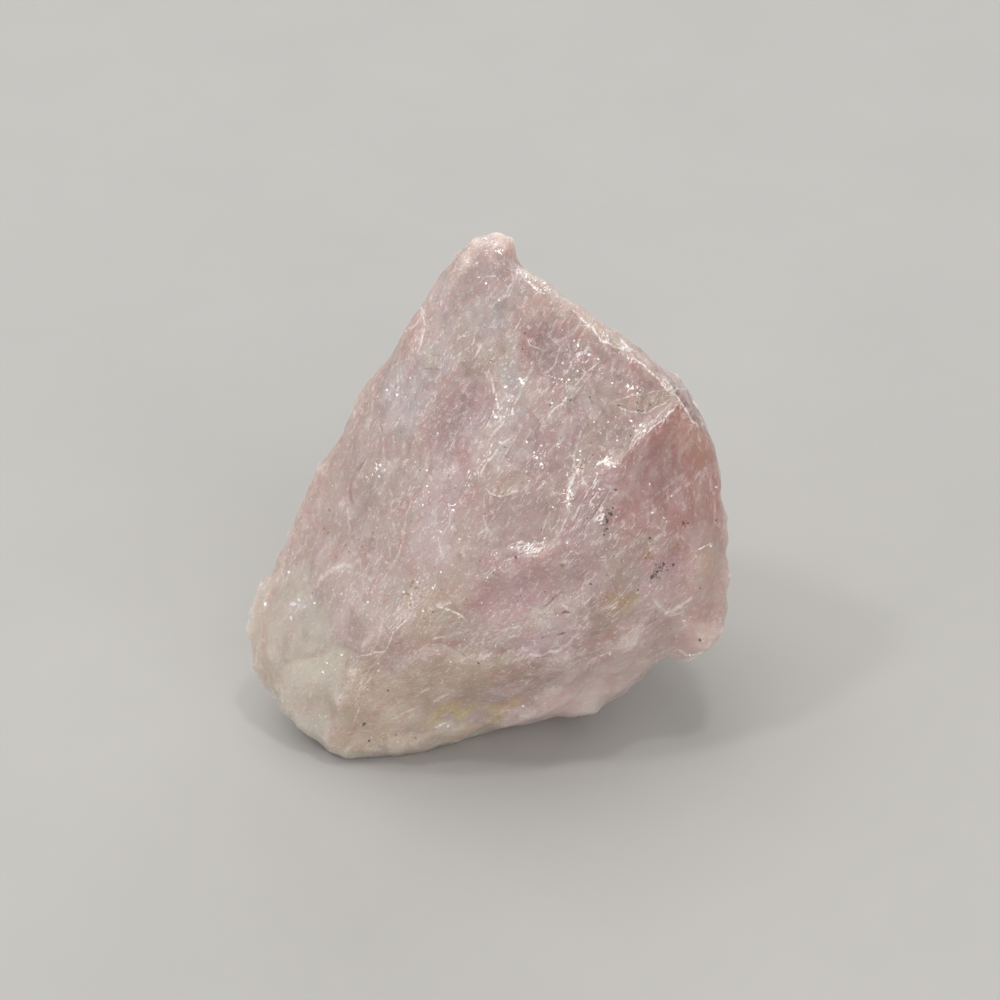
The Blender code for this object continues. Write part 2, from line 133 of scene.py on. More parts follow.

# Lightness is partly painted light and shade, set cloud by cloud against how the light falls.
# name, colour, lightness, strength, place, half length, half width, slant
FRONT_CLOUDS = (
    ("crown", "grey_rose", 0.93, 0.8, 482, 285, 54, 44, 60),
    ("cream under the crown", "cream", 0.93, 0.8, 468, 332, 44, 13, 80),
    ("cream at the neck", "cream", 1.06, 0.7, 495, 350, 28, 16, 20),
    ("white neck", "milk", 1.09, 0.6, 484, 316, 16, 18, 60),
    ("left shoulder", "grey_rose", 1.10, 0.8, 412, 385, 66, 26, 62),
    ("rosy hollow", "rose", 1.03, 0.9, 556, 357, 44, 27, -30),
    ("dusty edge above the hollow", "shell", 0.84, 0.7, 570, 318, 34, 12, -40),
    ("rosy rim", "rose", 0.92, 0.8, 635, 372, 52, 15, -40),
    ("dark pink hollow", "rose", 1.03, 0.9, 456, 424, 52, 27, 62),
    ("white spine", "milk", 1.06, 0.9, 506, 412, 54, 14, 82),
    ("middle beige", "rose", 1.00, 0.8, 556, 440, 52, 40, 50),
    ("cream streak", "cream", 0.95, 0.9, 577, 384, 34, 5, 52),
    ("under the wedge", "rose", 0.89, 0.7, 628, 430, 28, 18, 30),
    ("salmon cheek", "salmon", 1.00, 0.9, 662, 478, 64, 40, 62),
    ("orange glow", "ember", 1.00, 0.8, 690, 441, 34, 14, -58),
    ("left flank", "shell", 1.00, 0.8, 362, 470, 66, 28, 62),
    ("left flank middle", "shell", 1.00, 0.7, 400, 500, 60, 22, 66),
    ("left flank low", "shell", 1.06, 0.8, 318, 545, 38, 26, 62),
    ("left lobe", "ivory", 1.00, 1, 284, 632, 68, 58, 60),
    ("beside the lobe", "shell", 1.00, 0.8, 362, 600, 40, 34, 70),
    ("lilac middle", "lilac_white", 1.00, 0.7, 440, 520, 60, 26, 66),
    ("golden beige", "cream", 1.10, 0.7, 410, 590, 40, 24, 40),
    ("lilac pool", "lilac", 1.13, 0.9, 516, 582, 50, 31, 30),
    ("beige left of the pool", "sand", 1.05, 0.6, 440, 620, 36, 24, 50),
    ("striated pink", "lilac", 0.97, 0.8, 590, 508, 44, 17, 64),
    ("pink round the ledge", "blush", 0.93, 0.6, 548, 500, 40, 24, 66),
    ("beige right of the pool", "lilac", 1.00, 0.6, 575, 575, 36, 20, 50),
    ("olive low right", "smoke", 1.06, 0.8, 617, 592, 40, 18, 72),
    ("right belly", "salmon", 1.13, 0.8, 692, 522, 56, 28, 80),
    ("dark pocket", "lilac", 1.14, 0.8, 660, 578, 28, 22, 60),
    ("low right pink", "blush", 0.95, 0.8, 700, 612, 40, 22, 80),
    ("hanging lobe", "blush", 1.04, 0.8, 697, 645, 28, 20, 40),
    # Bottom right, bottom edge, bottom corner and bottom left are painted lighter: painted light against
    # the shade on the underside.
    ("bottom right", "shell", 1.50, 0.9, 592, 690, 60, 26, 25),
    ("under the pool", "lilac", 0.88, 0.7, 540, 645, 50, 18, 10),
    ("bottom middle", "sand", 0.94, 0.9, 450, 675, 70, 24, 8),
    ("bottom edge", "sand", 1.36, 1, 450, 738, 74, 15, 8),
    ("bottom edge right", "blush", 1.36, 1, 540, 715, 50, 14, 14),
    ("bottom corner", "sand", 1.30, 1, 352, 748, 38, 14, 22),
    ("bottom centre", "sand", 1.10, 0.9, 415, 712, 38, 14, 15),
    ("below the haze", "shell", 1.16, 0.9, 628, 652, 30, 18, 60),
    ("grey smudge", "smoke", 1.02, 0.7, 522, 672, 24, 11, 30),
    ("bottom left", "sand", 1.17, 0.8, 376, 705, 44, 32, 40),
    ("yellow patch one", "honey", 1.12, 0.8, 450, 712, 26, 8, 15),
    ("yellow patch two", "honey", 1.13, 0.7, 502, 710, 18, 9, 15),
    ("yellow under the pool", "honey", 0.87, 0.5, 535, 628, 10, 4, 20),
    ("olive haze", "honey", 0.86, 0.6, 621, 598, 8, 22, 80),
    ("olive drop", "honey", 0.78, 0.6, 648, 553, 5, 12, 70),
    ("grey shadow by the haze", "smoke", 0.95, 0.5, 595, 612, 18, 9, 60),
)

# name, colour, lightness, strength, softness, outline
FRONT_FACETS = (
    ("salmon face", "salmon", 1.00, 0.85, 1.5, ((680, 404), (671, 412), (658, 424), (647, 433), (636, 443),
     (624, 453), (621, 464), (618, 478), (616, 490), (611, 511), (607, 524), (625, 523), (643, 518),
     (660, 504), (680, 488), (698, 474), (716, 460), (712, 440), (700, 415))),
    ("cheek under the streak", "salmon", 1.03, 0.45, 4, ((643, 520), (660, 506), (698, 476), (716, 462),
     (722, 490), (722, 520), (700, 530), (670, 535), (650, 532))),
    ("hollow corner", "salmon", 0.97, 0.7, 3, ((529, 329), (522, 342), (518, 356), (518, 371), (526, 378),
     (531, 366), (530, 350), (536, 338))),
    ("hollow pane", "rose", 0.97, 0.55, 3, ((530, 330), (536, 352), (530, 378), (545, 376), (560, 385),
     (576, 378), (592, 360), (597, 350), (585, 345), (570, 338), (552, 343), (540, 335))),
    ("dark hollow pane", "rose", 0.98, 0.6, 3, ((477, 380), (487, 386), (492, 398), (494, 411), (488, 427),
     (478, 445), (466, 462), (450, 474), (434, 470), (430, 450), (436, 428), (448, 405), (462, 388))),
    ("striated pane", "lilac", 0.97, 0.6, 3, ((580, 478), (600, 470), (618, 470), (616, 490), (610, 512),
     (600, 530), (585, 545), (566, 548), (560, 535), (567, 512))),
    ("olive wedge", "olive_cream", 1.03, 0.7, 2, ((612, 404), (625, 397), (650, 393), (676, 391),
     (690, 390), (672, 400), (655, 409), (640, 414), (622, 411))),
    # Painted dark reflection: the thin strip is painted dark where a dark backdrop shows in it
    ("smoky strip", "dusk", 0.85, 0.95, 1.5, ((672, 384), (682, 396), (694, 410), (706, 430), (709, 438),
     (700, 429), (688, 414), (677, 397), (669, 386))),
    ("strip outside it", "grey_rose", 0.93, 0.8, 2, ((660, 366), (682, 380), (697, 397), (707, 415),
     (712, 438), (706, 428), (694, 406), (680, 390), (668, 380))),
    ("orange blotch", "ember", 1.00, 0.65, 6, ((672, 420), (690, 416), (704, 430), (710, 450), (700, 466),
     (684, 462), (674, 442))),
    ("crescent chip", "ivory", 1.05, 0.85, 1.5, ((422, 348), (432, 352), (441, 361), (441, 367),
     (432, 369), (424, 367), (420, 357))),
    ("flake under the lip", "rose", 1.00, 0.55, 3, ((486, 491), (500, 498), (515, 493), (540, 500),
     (563, 520), (556, 540), (520, 546), (494, 536), (486, 515))),
    ("flake above the lip", "olive_cream", 1.07, 0.45, 3, ((486, 489), (492, 478), (520, 468), (543, 474),
     (530, 486), (515, 492), (500, 497))),
    ("green white foot", "green_white", 1.00, 0.9, 3, ((356, 655), (345, 661), (341, 680), (337, 699),
     (331, 722), (326, 748), (300, 735), (284, 715), (272, 690), (285, 665), (320, 655), (340, 645))),
    ("wall of the foot", "sand", 1.00, 0.7, 3, ((358, 656), (347, 662), (339, 699), (328, 746), (345, 752),
     (365, 715), (376, 680), (384, 655))),
    ("peach pane", "peach", 1.00, 0.85, 2, ((693, 549), (712, 546), (715, 560), (713, 577), (702, 577),
     (697, 565))),
    ("pale pane above it", "blush", 1.06, 0.5, 3, ((680, 528), (708, 520), (714, 545), (693, 548))),
    ("pane under the chin", "ivory", 1.02, 0.5, 2, ((440, 607), (452, 611), (470, 628), (455, 640),
     (436, 636))),
    ("pale tongue", "lilac_white", 1.00, 0.5, 3, ((508, 648), (500, 632), (520, 622), (560, 618),
     (575, 628), (560, 645), (532, 653))),
    ("bright bottom pane", "blush", 1.10, 0.55, 3, ((575, 665), (605, 655), (612, 650), (612, 660),
     (600, 678), (580, 690), (570, 680))),
    ("neck light band", "ivory", 1.04, 0.6, 3, ((520, 272), (540, 272), (562, 292), (590, 318), (604, 332),
     (590, 330), (570, 310), (548, 296), (530, 288))),
    ("rim plate", "ivory", 1.06, 0.75, 2, ((588, 322), (612, 330), (626, 342), (632, 352), (612, 346),
     (602, 343), (596, 334))),
)

# name, half width, strength, path
PALE_LINES = (
    ("face edge", 0.9, 0.85, ((680, 403), (671, 412), (659, 423), (647, 433), (636, 443), (625, 453),
     (621, 463))),
    ("face edge twin", 0.8, 0.5, ((674, 402), (664, 411), (652, 421), (640, 433), (630, 444))),
    ("notch line", 1.2, 0.9, ((622, 464), (614, 464), (605, 460), (596, 466))),
    ("frost streak", 1.3, 0.75, ((581, 458), (578, 470), (573, 481), (568, 492), (566, 504), (567, 513))),
    ("frost streak foot", 0.7, 0.6, ((567, 513), (564, 526), (558, 537))),
    ("frost streak side", 0.9, 0.5, ((584, 464), (582, 476), (590, 488))),
    ("ledge foot", 0.8, 0.4, ((556, 538), (540, 548), (520, 556), (500, 562))),
    ("lower ridge", 1, 0.6, ((412, 612), (404, 622), (395, 632), (384, 652), (356, 655))),
    ("edge of the foot", 0.9, 0.28, ((384, 653), (370, 668), (361, 684), (356, 704))),
    ("ridge twin", 0.9, 0.45, ((407, 606), (398, 618), (388, 630))),
    ("lip", 1, 0.5, ((484, 488), (491, 494), (500, 497), (509, 494), (517, 489))),
    ("flake side", 0.9, 0.35, ((485, 497), (483, 512), (485, 524), (490, 533))),
    ("flake right side", 0.9, 0.3, ((568, 491), (569, 506), (566, 520), (560, 534))),
    ("streak on the face", 2, 0.26, ((643, 519), (660, 505), (680, 489), (698, 475), (716, 461))),
    ("streak on the face two", 1.8, 0.16, ((640, 506), (660, 492), (690, 468))),
    ("glint line on the pane top", 1, 0.95, ((694, 549), (703, 547), (711, 545))),
    ("pocket arc", 1.6, 0.4, ((653, 598), (660, 608), (667, 613), (680, 607), (691, 596))),
    ("pocket arc low", 1.2, 0.25, ((660, 612), (672, 616), (684, 612))),
    ("bottom glint line", 1.1, 0.9, ((594, 658), (603, 655), (612, 649))),
    ("bottom line", 1.2, 0.4, ((585, 668), (594, 658))),
    ("big swoosh", 1.8, 0.26, ((508, 650), (520, 655), (540, 655), (560, 650), (576, 635), (590, 612),
     (596, 600))),
    ("swoosh two", 1.3, 0.22, ((470, 640), (490, 630), (505, 628), (518, 626))),
    ("swoosh three", 1.3, 0.2, ((455, 652), (470, 645), (490, 640), (508, 632))),
    ("tongue ridge", 1.2, 0.4, ((432, 640), (450, 636), (470, 628))),
    ("chip at the chin", 1.4, 0.7, ((438, 606), (447, 610), (458, 615), (466, 621))),
    ("rim cut", 1.2, 0.8, ((572, 308), (580, 318), (592, 328), (600, 340), (612, 345), (628, 350))),
    ("rim light", 1.4, 0.95, ((621, 338), (627, 344), (632, 351))),
    ("rim crack", 1, 0.7, ((632, 356), (645, 364), (655, 374), (664, 386), (672, 396))),
    ("strip edge", 1.1, 0.85, ((690, 396), (700, 410), (707, 424), (711, 438))),
    ("strip inner edge", 1, 0.7, ((663, 378), (672, 388), (680, 400), (690, 416), (699, 430))),
    ("neck crack", 1.1, 0.55, ((517, 262), (520, 275), (530, 284), (540, 292))),
    ("crown swirl", 1.1, 0.28, ((478, 286), (486, 277), (496, 276), (500, 284), (494, 292), (486, 294))),
    ("crown loop", 1.8, 0.2, ((508, 262), (512, 272), (512, 284), (506, 294), (498, 300))),
    ("hollow stroke one", 0.9, 0.35, ((527, 337), (532, 345), (540, 350))),
    ("hollow stroke two", 0.8, 0.3, ((548, 337), (555, 344), (564, 346))),
    ("hollow stroke three", 0.8, 0.3, ((534, 365), (541, 358), (545, 348))),
    ("hollow stroke four", 1.1, 0.45, ((572, 362), (579, 353), (590, 347))),
    ("hollow stroke five", 1, 0.4, ((568, 357), (577, 358), (586, 352), (592, 355))),
    ("hollow stroke six", 0.9, 0.4, ((562, 378), (570, 368), (576, 358))),
    ("hollow stroke seven", 0.9, 0.35, ((548, 372), (556, 362), (560, 348))),
    ("hollow stroke eight", 0.9, 0.3, ((566, 340), (570, 350), (568, 362))),
    ("hollow stroke nine", 0.9, 0.35, ((580, 366), (588, 378), (592, 392))),
    ("flank stroke one", 1.2, 0.45, ((414, 292), (421, 308), (425, 325), (421, 340), (418, 352))),
    ("flank stroke two", 1.2, 0.26, ((404, 318), (410, 330), (420, 318), (428, 306))),
    ("flank stroke three", 1.3, 0.33, ((397, 372), (398, 386), (396, 398))),
    ("flank stroke four", 1.6, 0.23, ((378, 420), (384, 438), (383, 455), (392, 470))),
    ("flank stroke five", 1.2, 0.29, ((368, 456), (363, 466), (358, 480))),
    ("flank stroke six", 1, 0.23, ((400, 545), (404, 520), (412, 495))),
    ("flank stroke seven", 1.2, 0.23, ((394, 562), (404, 540), (406, 520))),
    ("flank stroke eight", 1.2, 0.26, ((346, 505), (350, 520), (352, 532))),
    ("cream edge", 1, 0.5, ((550, 412), (562, 402), (575, 386), (588, 372), (600, 362))),
    ("cream edge two", 0.9, 0.4, ((566, 404), (580, 388), (592, 374))),
    ("wedge top", 0.9, 0.45, ((612, 403), (630, 396), (655, 391), (690, 389))),
    ("wedge foot", 1, 0.5, ((614, 404), (630, 412), (648, 412), (664, 404), (676, 396))),
    ("sheaf one", 0.9, 0.6, ((572, 522), (580, 505), (592, 486), (600, 470))),
    ("sheaf two", 0.9, 0.6, ((578, 526), (588, 508), (598, 492))),
    ("sheaf three", 1.1, 0.9, ((596, 523), (601, 516), (604, 507))),
    ("sheaf four", 0.8, 0.5, ((584, 536), (594, 520), (606, 500), (614, 486))),
    ("sheaf five", 0.8, 0.5, ((565, 545), (575, 530), (583, 516))),
    ("ripple one", 1.1, 0.85, ((508, 548), (516, 543), (524, 541))),
    ("ripple two", 1, 0.8, ((514, 549), (522, 546), (531, 547), (537, 543))),
    ("ripple three", 1, 0.75, ((519, 553), (527, 551), (535, 553), (541, 548))),
    ("ripple four", 0.9, 0.6, ((524, 557), (531, 556), (538, 557))),
    ("spine stroke one", 1.2, 0.5, ((490, 372), (493, 390), (497, 410), (500, 428))),
    ("spine stroke two", 1.3, 0.35, ((530, 372), (520, 392), (512, 410), (496, 430), (484, 448))),
    ("spine stroke three", 1.2, 0.45, ((478, 478), (488, 460), (500, 446), (515, 436))),
    ("spine stroke four", 1.1, 0.3, ((450, 520), (462, 500), (474, 482))),
    ("spine stroke five", 1, 0.28, ((436, 548), (446, 530), (456, 515))),
    ("beige stroke", 1.1, 0.25, ((546, 412), (536, 426), (530, 440))),
    ("beige stroke two", 1.1, 0.25, ((578, 412), (582, 428), (578, 446), (572, 470), (566, 490))),
    ("belly line", 1.2, 0.2, ((706, 470), (713, 500), (716, 530))),
    ("belly line two", 1.1, 0.2, ((676, 534), (690, 544), (696, 556))),
    ("foot scratch", 1.2, 0.2, ((312, 690), (308, 705), (300, 715))),
    ("lobe curl", 2.4, 0.28, ((322, 575), (334, 568), (350, 566), (366, 560), (376, 552))),
    ("lobe curl two", 2, 0.25, ((318, 590), (322, 578), (334, 568))),
    ("wall stroke one", 1, 0.4, ((362, 700), (356, 716), (352, 728))),
    ("wall stroke two", 0.9, 0.35, ((390, 720), (405, 712), (420, 706))),
    ("bottom stroke one", 1.4, 0.5, ((432, 702), (440, 698), (447, 694))),
    ("bottom stroke two", 1.5, 0.6, ((434, 727), (441, 725), (447, 723))),
    ("bottom stroke three", 1.2, 0.45, ((415, 696), (424, 691), (432, 686))),
    ("lobe rim", 1, 0.5, ((676, 648), (686, 656), (698, 655), (706, 650))),
)

# Dark hairlines: cracks, and painted shade where they are named shade or shadow.
DARK_LINES = (
    ("long flank shade", 2.3, 0.42, ((370, 455), (362, 463), (354, 475), (350, 487), (351, 498),
     (353, 508))),
    ("long flank shade low", 1.8, 0.3, ((351, 520), (353, 532), (356, 545))),
    ("sheaf shade one", 1.3, 0.6, ((588, 528), (596, 514), (604, 500))),
    ("sheaf shade two", 1.1, 0.55, ((583, 537), (592, 521), (599, 508))),
    ("sheaf shade three", 1, 0.45, ((575, 540), (583, 527), (590, 515))),
    ("sheaf shade four", 1, 0.4, ((570, 508), (576, 497), (582, 486))),
    ("lip shadow", 1.2, 0.3, ((486, 492), (500, 500), (515, 495))),
    ("crescent shadow", 1, 0.5, ((423, 368), (432, 370), (441, 368))),
    ("pool crack", 1.3, 0.6, ((538, 612), (544, 606), (550, 601), (557, 597), (566, 592))),
    ("pool crack two", 1, 0.45, ((576, 582), (582, 575), (588, 570))),
    ("bottom wave", 1.1, 0.32, ((430, 644), (441, 643), (452, 645), (462, 652), (470, 660), (480, 663))),
    ("bottom wave two", 1.1, 0.3, ((482, 660), (490, 661), (498, 657))),
    ("bottom wave three", 1.8, 0.28, ((498, 672), (515, 662), (535, 657), (560, 656))),
    ("bottom wave four", 2.4, 0.22, ((500, 688), (515, 680), (530, 676))),
    ("pocket arc shade", 1.8, 0.45, ((642, 624), (650, 622), (655, 617), (656, 610))),
    ("wedge shade", 1, 0.45, ((632, 409), (640, 411), (648, 413))),
    ("hollow side shade", 1.2, 0.45, ((493, 400), (495, 408), (494, 416))),
    ("face shade one", 1.6, 0.25, ((648, 480), (660, 498), (668, 512))),
    ("face shade two", 1.4, 0.22, ((660, 474), (674, 490), (680, 505))),
    ("chin shade", 1.6, 0.25, ((470, 612), (462, 620), (456, 630))),
    ("wall shade", 2, 0.2, ((386, 656), (376, 672), (370, 690))),
    ("ridge shade", 1.2, 0.4, ((404, 618), (399, 626), (395, 631))),
    ("lobe shade", 2, 0.22, ((316, 560), (312, 574), (310, 588))),
    ("smoky mark", 2, 0.25, ((590, 398), (602, 408), (612, 420))),
    ("pool dash one", 1.5, 0.85, ((562, 614), (567, 612), (573, 611))),
    ("pool dash two", 1.2, 0.75, ((557, 635), (561, 633), (566, 632))),
    ("pool dash three", 1.1, 0.7, ((541, 639), (545, 637), (549, 637))),
    ("haze vein", 1.4, 0.25, ((610, 578), (616, 592), (620, 606))),
    ("low shade one", 2.2, 0.3, ((592, 596), (594, 606), (592, 614))),
    ("low shade two", 2.2, 0.22, ((600, 628), (592, 634), (584, 640))),
)

# place and radius
DARK_SPECKS = (
    (618.5, 405.5, 1.2), (650, 405, 0.9), (637, 403, 0.8), (590, 397, 1.3), (570.4, 400, 0.9),
    (550, 405, 0.7), (631, 435.5, 1), (652, 577, 2.3), (656, 572, 1.9), (659, 567.5, 1.4),
    (663, 564, 1.7), (673, 565, 1.5), (667, 570, 1), (655.5, 564.5, 1), (611, 514, 2.3),
    (607, 521, 1.9), (607, 529, 1.6), (615.5, 490, 1.4), (613, 508, 1.2), (604, 535, 1),
    (364, 724, 1.9), (369, 741, 1.3), (340, 700, 0.8), (525, 333, 1), (522.7, 349, 1), (459, 341, 0.7),
    (431, 344, 0.6), (515.5, 557, 1.3), (542, 530, 0.9), (650, 538, 1.3), (591, 584, 1.1),
    (638, 590, 1), (683, 523, 1.5), (688, 523, 1.1), (716, 520, 1.2), (700, 640, 1.5),
    (520, 595.5, 0.9), (518, 601, 0.7), (545, 592, 0.8), (478, 663, 1.2), (493, 573, 1),
    (420, 470, 0.7), (455, 488, 0.7), (395, 440, 0.6), (401, 432, 0.6), (388, 690, 1), (441, 590, 0.7),
    (593, 455, 1), (498, 410, 0.8), (614, 556, 0.9), (640, 345, 0.6), (612, 350, 0.8), (700, 588, 0.9),
    (433, 612, 0.8), (638, 411, 1), (642, 412, 0.9),
)

RUST_SPECKS = (
    (490.7, 361, 1.7), (329, 510, 1.7), (324, 529, 1.6), (328, 533, 1.2), (346, 545, 1.5),
    (349, 552, 1.3), (336, 557, 1), (413, 582, 2), (417, 588, 2), (407, 594, 2), (410, 606, 1.4),
    (421, 597, 1.2), (466, 599, 1.2), (562, 565, 1.9), (646, 558, 1.7), (649, 553, 1.5), (661, 571, 1),
    (677, 544.5, 1.5), (679, 549, 1.2), (678, 408, 1.5), (581, 465, 1.9), (582.5, 469, 1.4),
    (591, 443, 1.5), (588, 425, 1.6), (622, 560, 1.3), (607, 575, 1.2), (505, 447, 1.5),
    (506, 456, 1.2), (503, 494, 1.1), (522, 483, 1.1), (484, 514, 1), (480, 561, 1), (373, 533, 1),
    (362, 547, 1), (456, 311, 0.8), (505, 352, 0.8), (452, 712, 1), (396, 735, 1.3), (415, 738, 1.3),
)

# Painted glints: white specks that stand in for highlights; place and radius
GLINTS = (
    (486, 239, 1.2), (499, 251, 1.6), (503, 250, 1.1), (486, 283, 1.1), (479, 277, 0.8),
    (499, 300, 1.1), (578, 345.5, 1.6), (574, 341, 1), (589, 354.5, 1.3), (598, 359, 1),
    (578, 370.5, 1.1), (562, 379, 1.1), (569, 379, 1.1), (522.7, 383, 1.6), (520, 379, 1.6),
    (628, 386, 1.8), (633, 388, 1.3), (638, 393, 1.1), (612, 383, 1), (387, 390, 1.1), (397, 395, 1.4),
    (380, 465, 1.4), (376, 468, 1.6), (379, 476, 1), (427, 470, 1.2), (427, 486, 1.1), (429, 492, 1),
    (423, 505, 1), (455, 505, 1.6), (453, 510, 1.3), (495.5, 417, 1.6), (495.5, 399, 1.1),
    (493, 412, 0.9), (641, 424, 1.6), (631, 421, 1.3), (646, 430, 1.5), (594, 422, 0.9),
    (608, 422, 0.9), (609, 463, 2), (616, 466, 1.8), (606, 460, 1.5), (598, 464, 1.1), (578, 460, 1.3),
    (599, 489, 1.2), (598, 473, 1), (602, 518, 1.6), (601, 523, 1.3), (603, 514, 1.1), (570, 491, 1.7),
    (568, 498, 1.6), (569, 504, 1.3), (537, 458, 1.5), (542, 464, 1.6), (534, 453, 1.1), (541, 446, 1),
    (558, 444, 1.1), (559, 447, 0.8), (527, 442, 1.4), (580, 451, 1.1), (529, 481, 0.9),
    (553, 507, 0.9), (650, 484, 1.1), (671, 496, 1), (342, 655, 1.2), (327, 663, 1.1), (323, 672, 1.1),
    (265, 604, 1.6), (289, 572, 1.1), (315, 603, 1.1), (414, 298, 0.8), (568, 543, 1.2),
    (545, 538, 1.1), (512, 547, 1.4), (529, 544, 1.1), (529, 549, 1.2), (527, 553, 1.1),
    (653, 513, 1.1), (664, 518, 1), (690, 655, 1.2), (711, 546, 1.1), (702, 424, 1), (716, 487, 1.1),
    (440, 725, 1.2), (448, 726, 1.1), (523, 706, 1.2), (441, 572, 1.1), (433, 588, 1.1),
    (610, 654, 1.4), (417, 582, 1), (404, 592, 1), (405, 397, 0.8), (410, 378, 0.8), (601, 433, 0.8),
    (552, 403, 1.1), (405, 330, 0.8), (405, 289, 0.8), (471, 418, 0.8),
)

# Painted rainbow flecks, standing in for iridescent reflections in fine cracks; place and radius
RAINBOWS = (
    (293, 604, 2.4), (299, 600, 1.8), (291, 618, 1.9), (304, 607, 1.5), (684, 621, 1.4),
    (421, 499, 1.2), (312, 598, 1.6), (495, 415, 1.5),
)

# name, strength, place, half length, half width, slant
FROST = (
    ("neck", 0.9, 534, 281, 16, 8, -35),
    ("rim plate", 0.8, 608, 338, 16, 7, -35),
    ("rim", 0.9, 634, 352, 10, 5, -45),
    ("hollow crossing", 0.7, 576, 358, 20, 14, 50),
    ("hollow floor", 0.6, 568, 376, 22, 8, 10),
    ("hollow corner", 0.35, 541, 344, 16, 9, 40),
    ("under the rim", 0.6, 597, 378, 14, 9, -60),
    ("wedge glints", 0.8, 632, 389, 14, 6, -15),
    ("ledge head", 1, 636, 425, 9, 6, -25),
    ("ledge beads", 0.45, 668, 412, 18, 2, 42),
    ("ledge notch", 1, 607, 464, 14, 5, -5),
    ("ledge haze", 0.6, 592, 480, 16, 8, -55),
    ("streak", 1, 569, 496, 17, 4, 72),
    ("streak head", 0.9, 579, 460, 4, 10, 0),
    ("glints under the face", 0.7, 660, 517, 9, 3, 20),
    ("spine cluster", 0.7, 539, 460, 14, 13, -50),
    ("sheaf", 0.75, 595, 505, 24, 8, 62),
    ("sheaf foot", 1, 601, 519, 9, 3, 60),
    ("flank glints", 0.7, 378, 470, 10, 6, 55),
    ("middle glints", 0.9, 454, 508, 11, 5, 65),
    ("middle glints low", 0.6, 440, 530, 16, 8, 60),
    ("golden corner", 0.6, 415, 590, 14, 10, 40),
    ("ripples", 0.85, 530, 549, 20, 6, 12),
    ("pool edge", 0.5, 500, 560, 30, 5, 30),
    ("spine", 0.6, 507, 400, 36, 9, 80),
    ("spine foot", 0.6, 478, 470, 34, 9, 62),
    ("crown", 0.6, 494, 244, 16, 6, -10),
    ("right of the pool", 0.5, 580, 552, 20, 5, 35),
    ("face foot", 0.35, 650, 520, 18, 5, 35),
    ("strip", 0.5, 700, 425, 10, 4, -55),
    ("chin", 0.5, 432, 590, 12, 6, 45),
    ("chin low", 0.5, 438, 646, 10, 5, 10),
    ("shoulder", 0.35, 402, 392, 16, 5, 65),
    ("foot ridge", 0.35, 352, 652, 16, 4, 10),
)

SMOOTH = (
    ("salmon face", 0.9, 668, 470, 58, 34, 62),
    ("left lobe", 0.9, 292, 640, 62, 58, 60),
    ("foot", 0.7, 320, 715, 40, 34, -45),
    ("bottom band", 0.6, 430, 705, 90, 28, 8),
    ("bottom right", 0.7, 592, 690, 60, 26, 25),
    ("right belly", 0.75, 705, 560, 70, 24, 85),
    ("low right", 0.7, 690, 630, 40, 26, 60),
    ("crown", 0.55, 482, 280, 44, 34, 60),
    ("left flank", 0.6, 350, 480, 70, 24, 62),
    ("left flank low", 0.6, 330, 560, 50, 40, 62),
    ("rosy rim", 0.4, 640, 372, 40, 12, -40),
    ("middle flake", 0.5, 522, 518, 34, 20, 0),
    ("tongue", 0.4, 545, 636, 34, 14, 10),
)

WORN = (
    ("ledge", 0.9, 612, 470, 64, 34, 50),
    ("ledge foot", 0.95, 545, 545, 54, 30, 20),
    ("dark hollow", 0.85, 455, 420, 60, 40, 62),
    ("rosy hollow", 0.85, 545, 355, 52, 34, -35),
    ("middle", 0.8, 525, 470, 64, 54, 60),
    ("pool", 0.7, 520, 590, 64, 44, 30),
    ("lower ridge", 0.6, 400, 630, 48, 24, 55),
    ("crown", 0.7, 486, 290, 40, 26, 70),
    ("shoulder", 0.7, 415, 390, 60, 24, 62),
    ("cheek", 0.75, 668, 480, 60, 34, 62),
    ("rosy rim", 0.6, 628, 375, 40, 16, -40),
    ("low right", 0.6, 650, 590, 50, 40, 60),
    ("left flank", 0.8, 365, 470, 74, 34, 62),
    ("upper flank", 0.7, 410, 330, 60, 22, 64),
    ("left low", 0.6, 340, 570, 50, 40, 60),
)

# The back's marks are in millimetres, in u and v; seen from behind, u runs to the left.
# The back's clouds are painted lighter than the front's: painted light where less light reaches the back.
BACK_CLOUDS = (
    ("upper back", "grey_rose", 1.24, 0.80, 2.0, 31.0, 6.0, 5.0, 70),
    ("cream seam", "cream", 1.26, 0.70, -3.0, 24.0, 9.0, 1.8, 64),
    ("rosy side", "rose", 1.24, 0.90, 9.0, 22.0, 6.5, 5.0, 50),
    ("salmon side", "salmon", 1.24, 0.85, 15.5, 14.0, 6.0, 4.5, 60),
    ("milky middle", "milk", 1.20, 0.70, 1.0, 17.0, 8.0, 3.0, 58),
    ("lilac middle", "lilac", 1.24, 0.80, 6.0, 11.0, 7.0, 3.5, 40),
    ("shell side", "shell", 1.24, 0.80, -9.0, 18.0, 7.0, 4.0, 60),
    ("ivory lobe", "ivory", 1.24, 0.90, -16.0, 5.0, 6.0, 5.5, 50),
    ("green foot", "green_white", 1.20, 0.70, -12.0, -2.0, 6.0, 3.5, 30),
    ("sandy foot", "sand", 1.24, 0.80, -2.0, 1.0, 9.0, 4.0, 12),
    ("blush foot", "blush", 1.24, 0.70, 10.0, 3.0, 7.0, 3.5, 20),
    ("smoky hollow", "smoke", 1.26, 0.50, 3.0, 5.0, 3.5, 2.0, 30),
    ("honey stain", "honey", 1.24, 0.60, -7.0, 9.0, 3.0, 1.4, 50),
    ("honey stain low", "honey", 1.24, 0.55, 6.0, -1.0, 3.5, 1.2, 10),
    ("peach edge", "peach", 1.24, 0.60, 18.0, 8.0, 3.0, 2.0, 80),
)
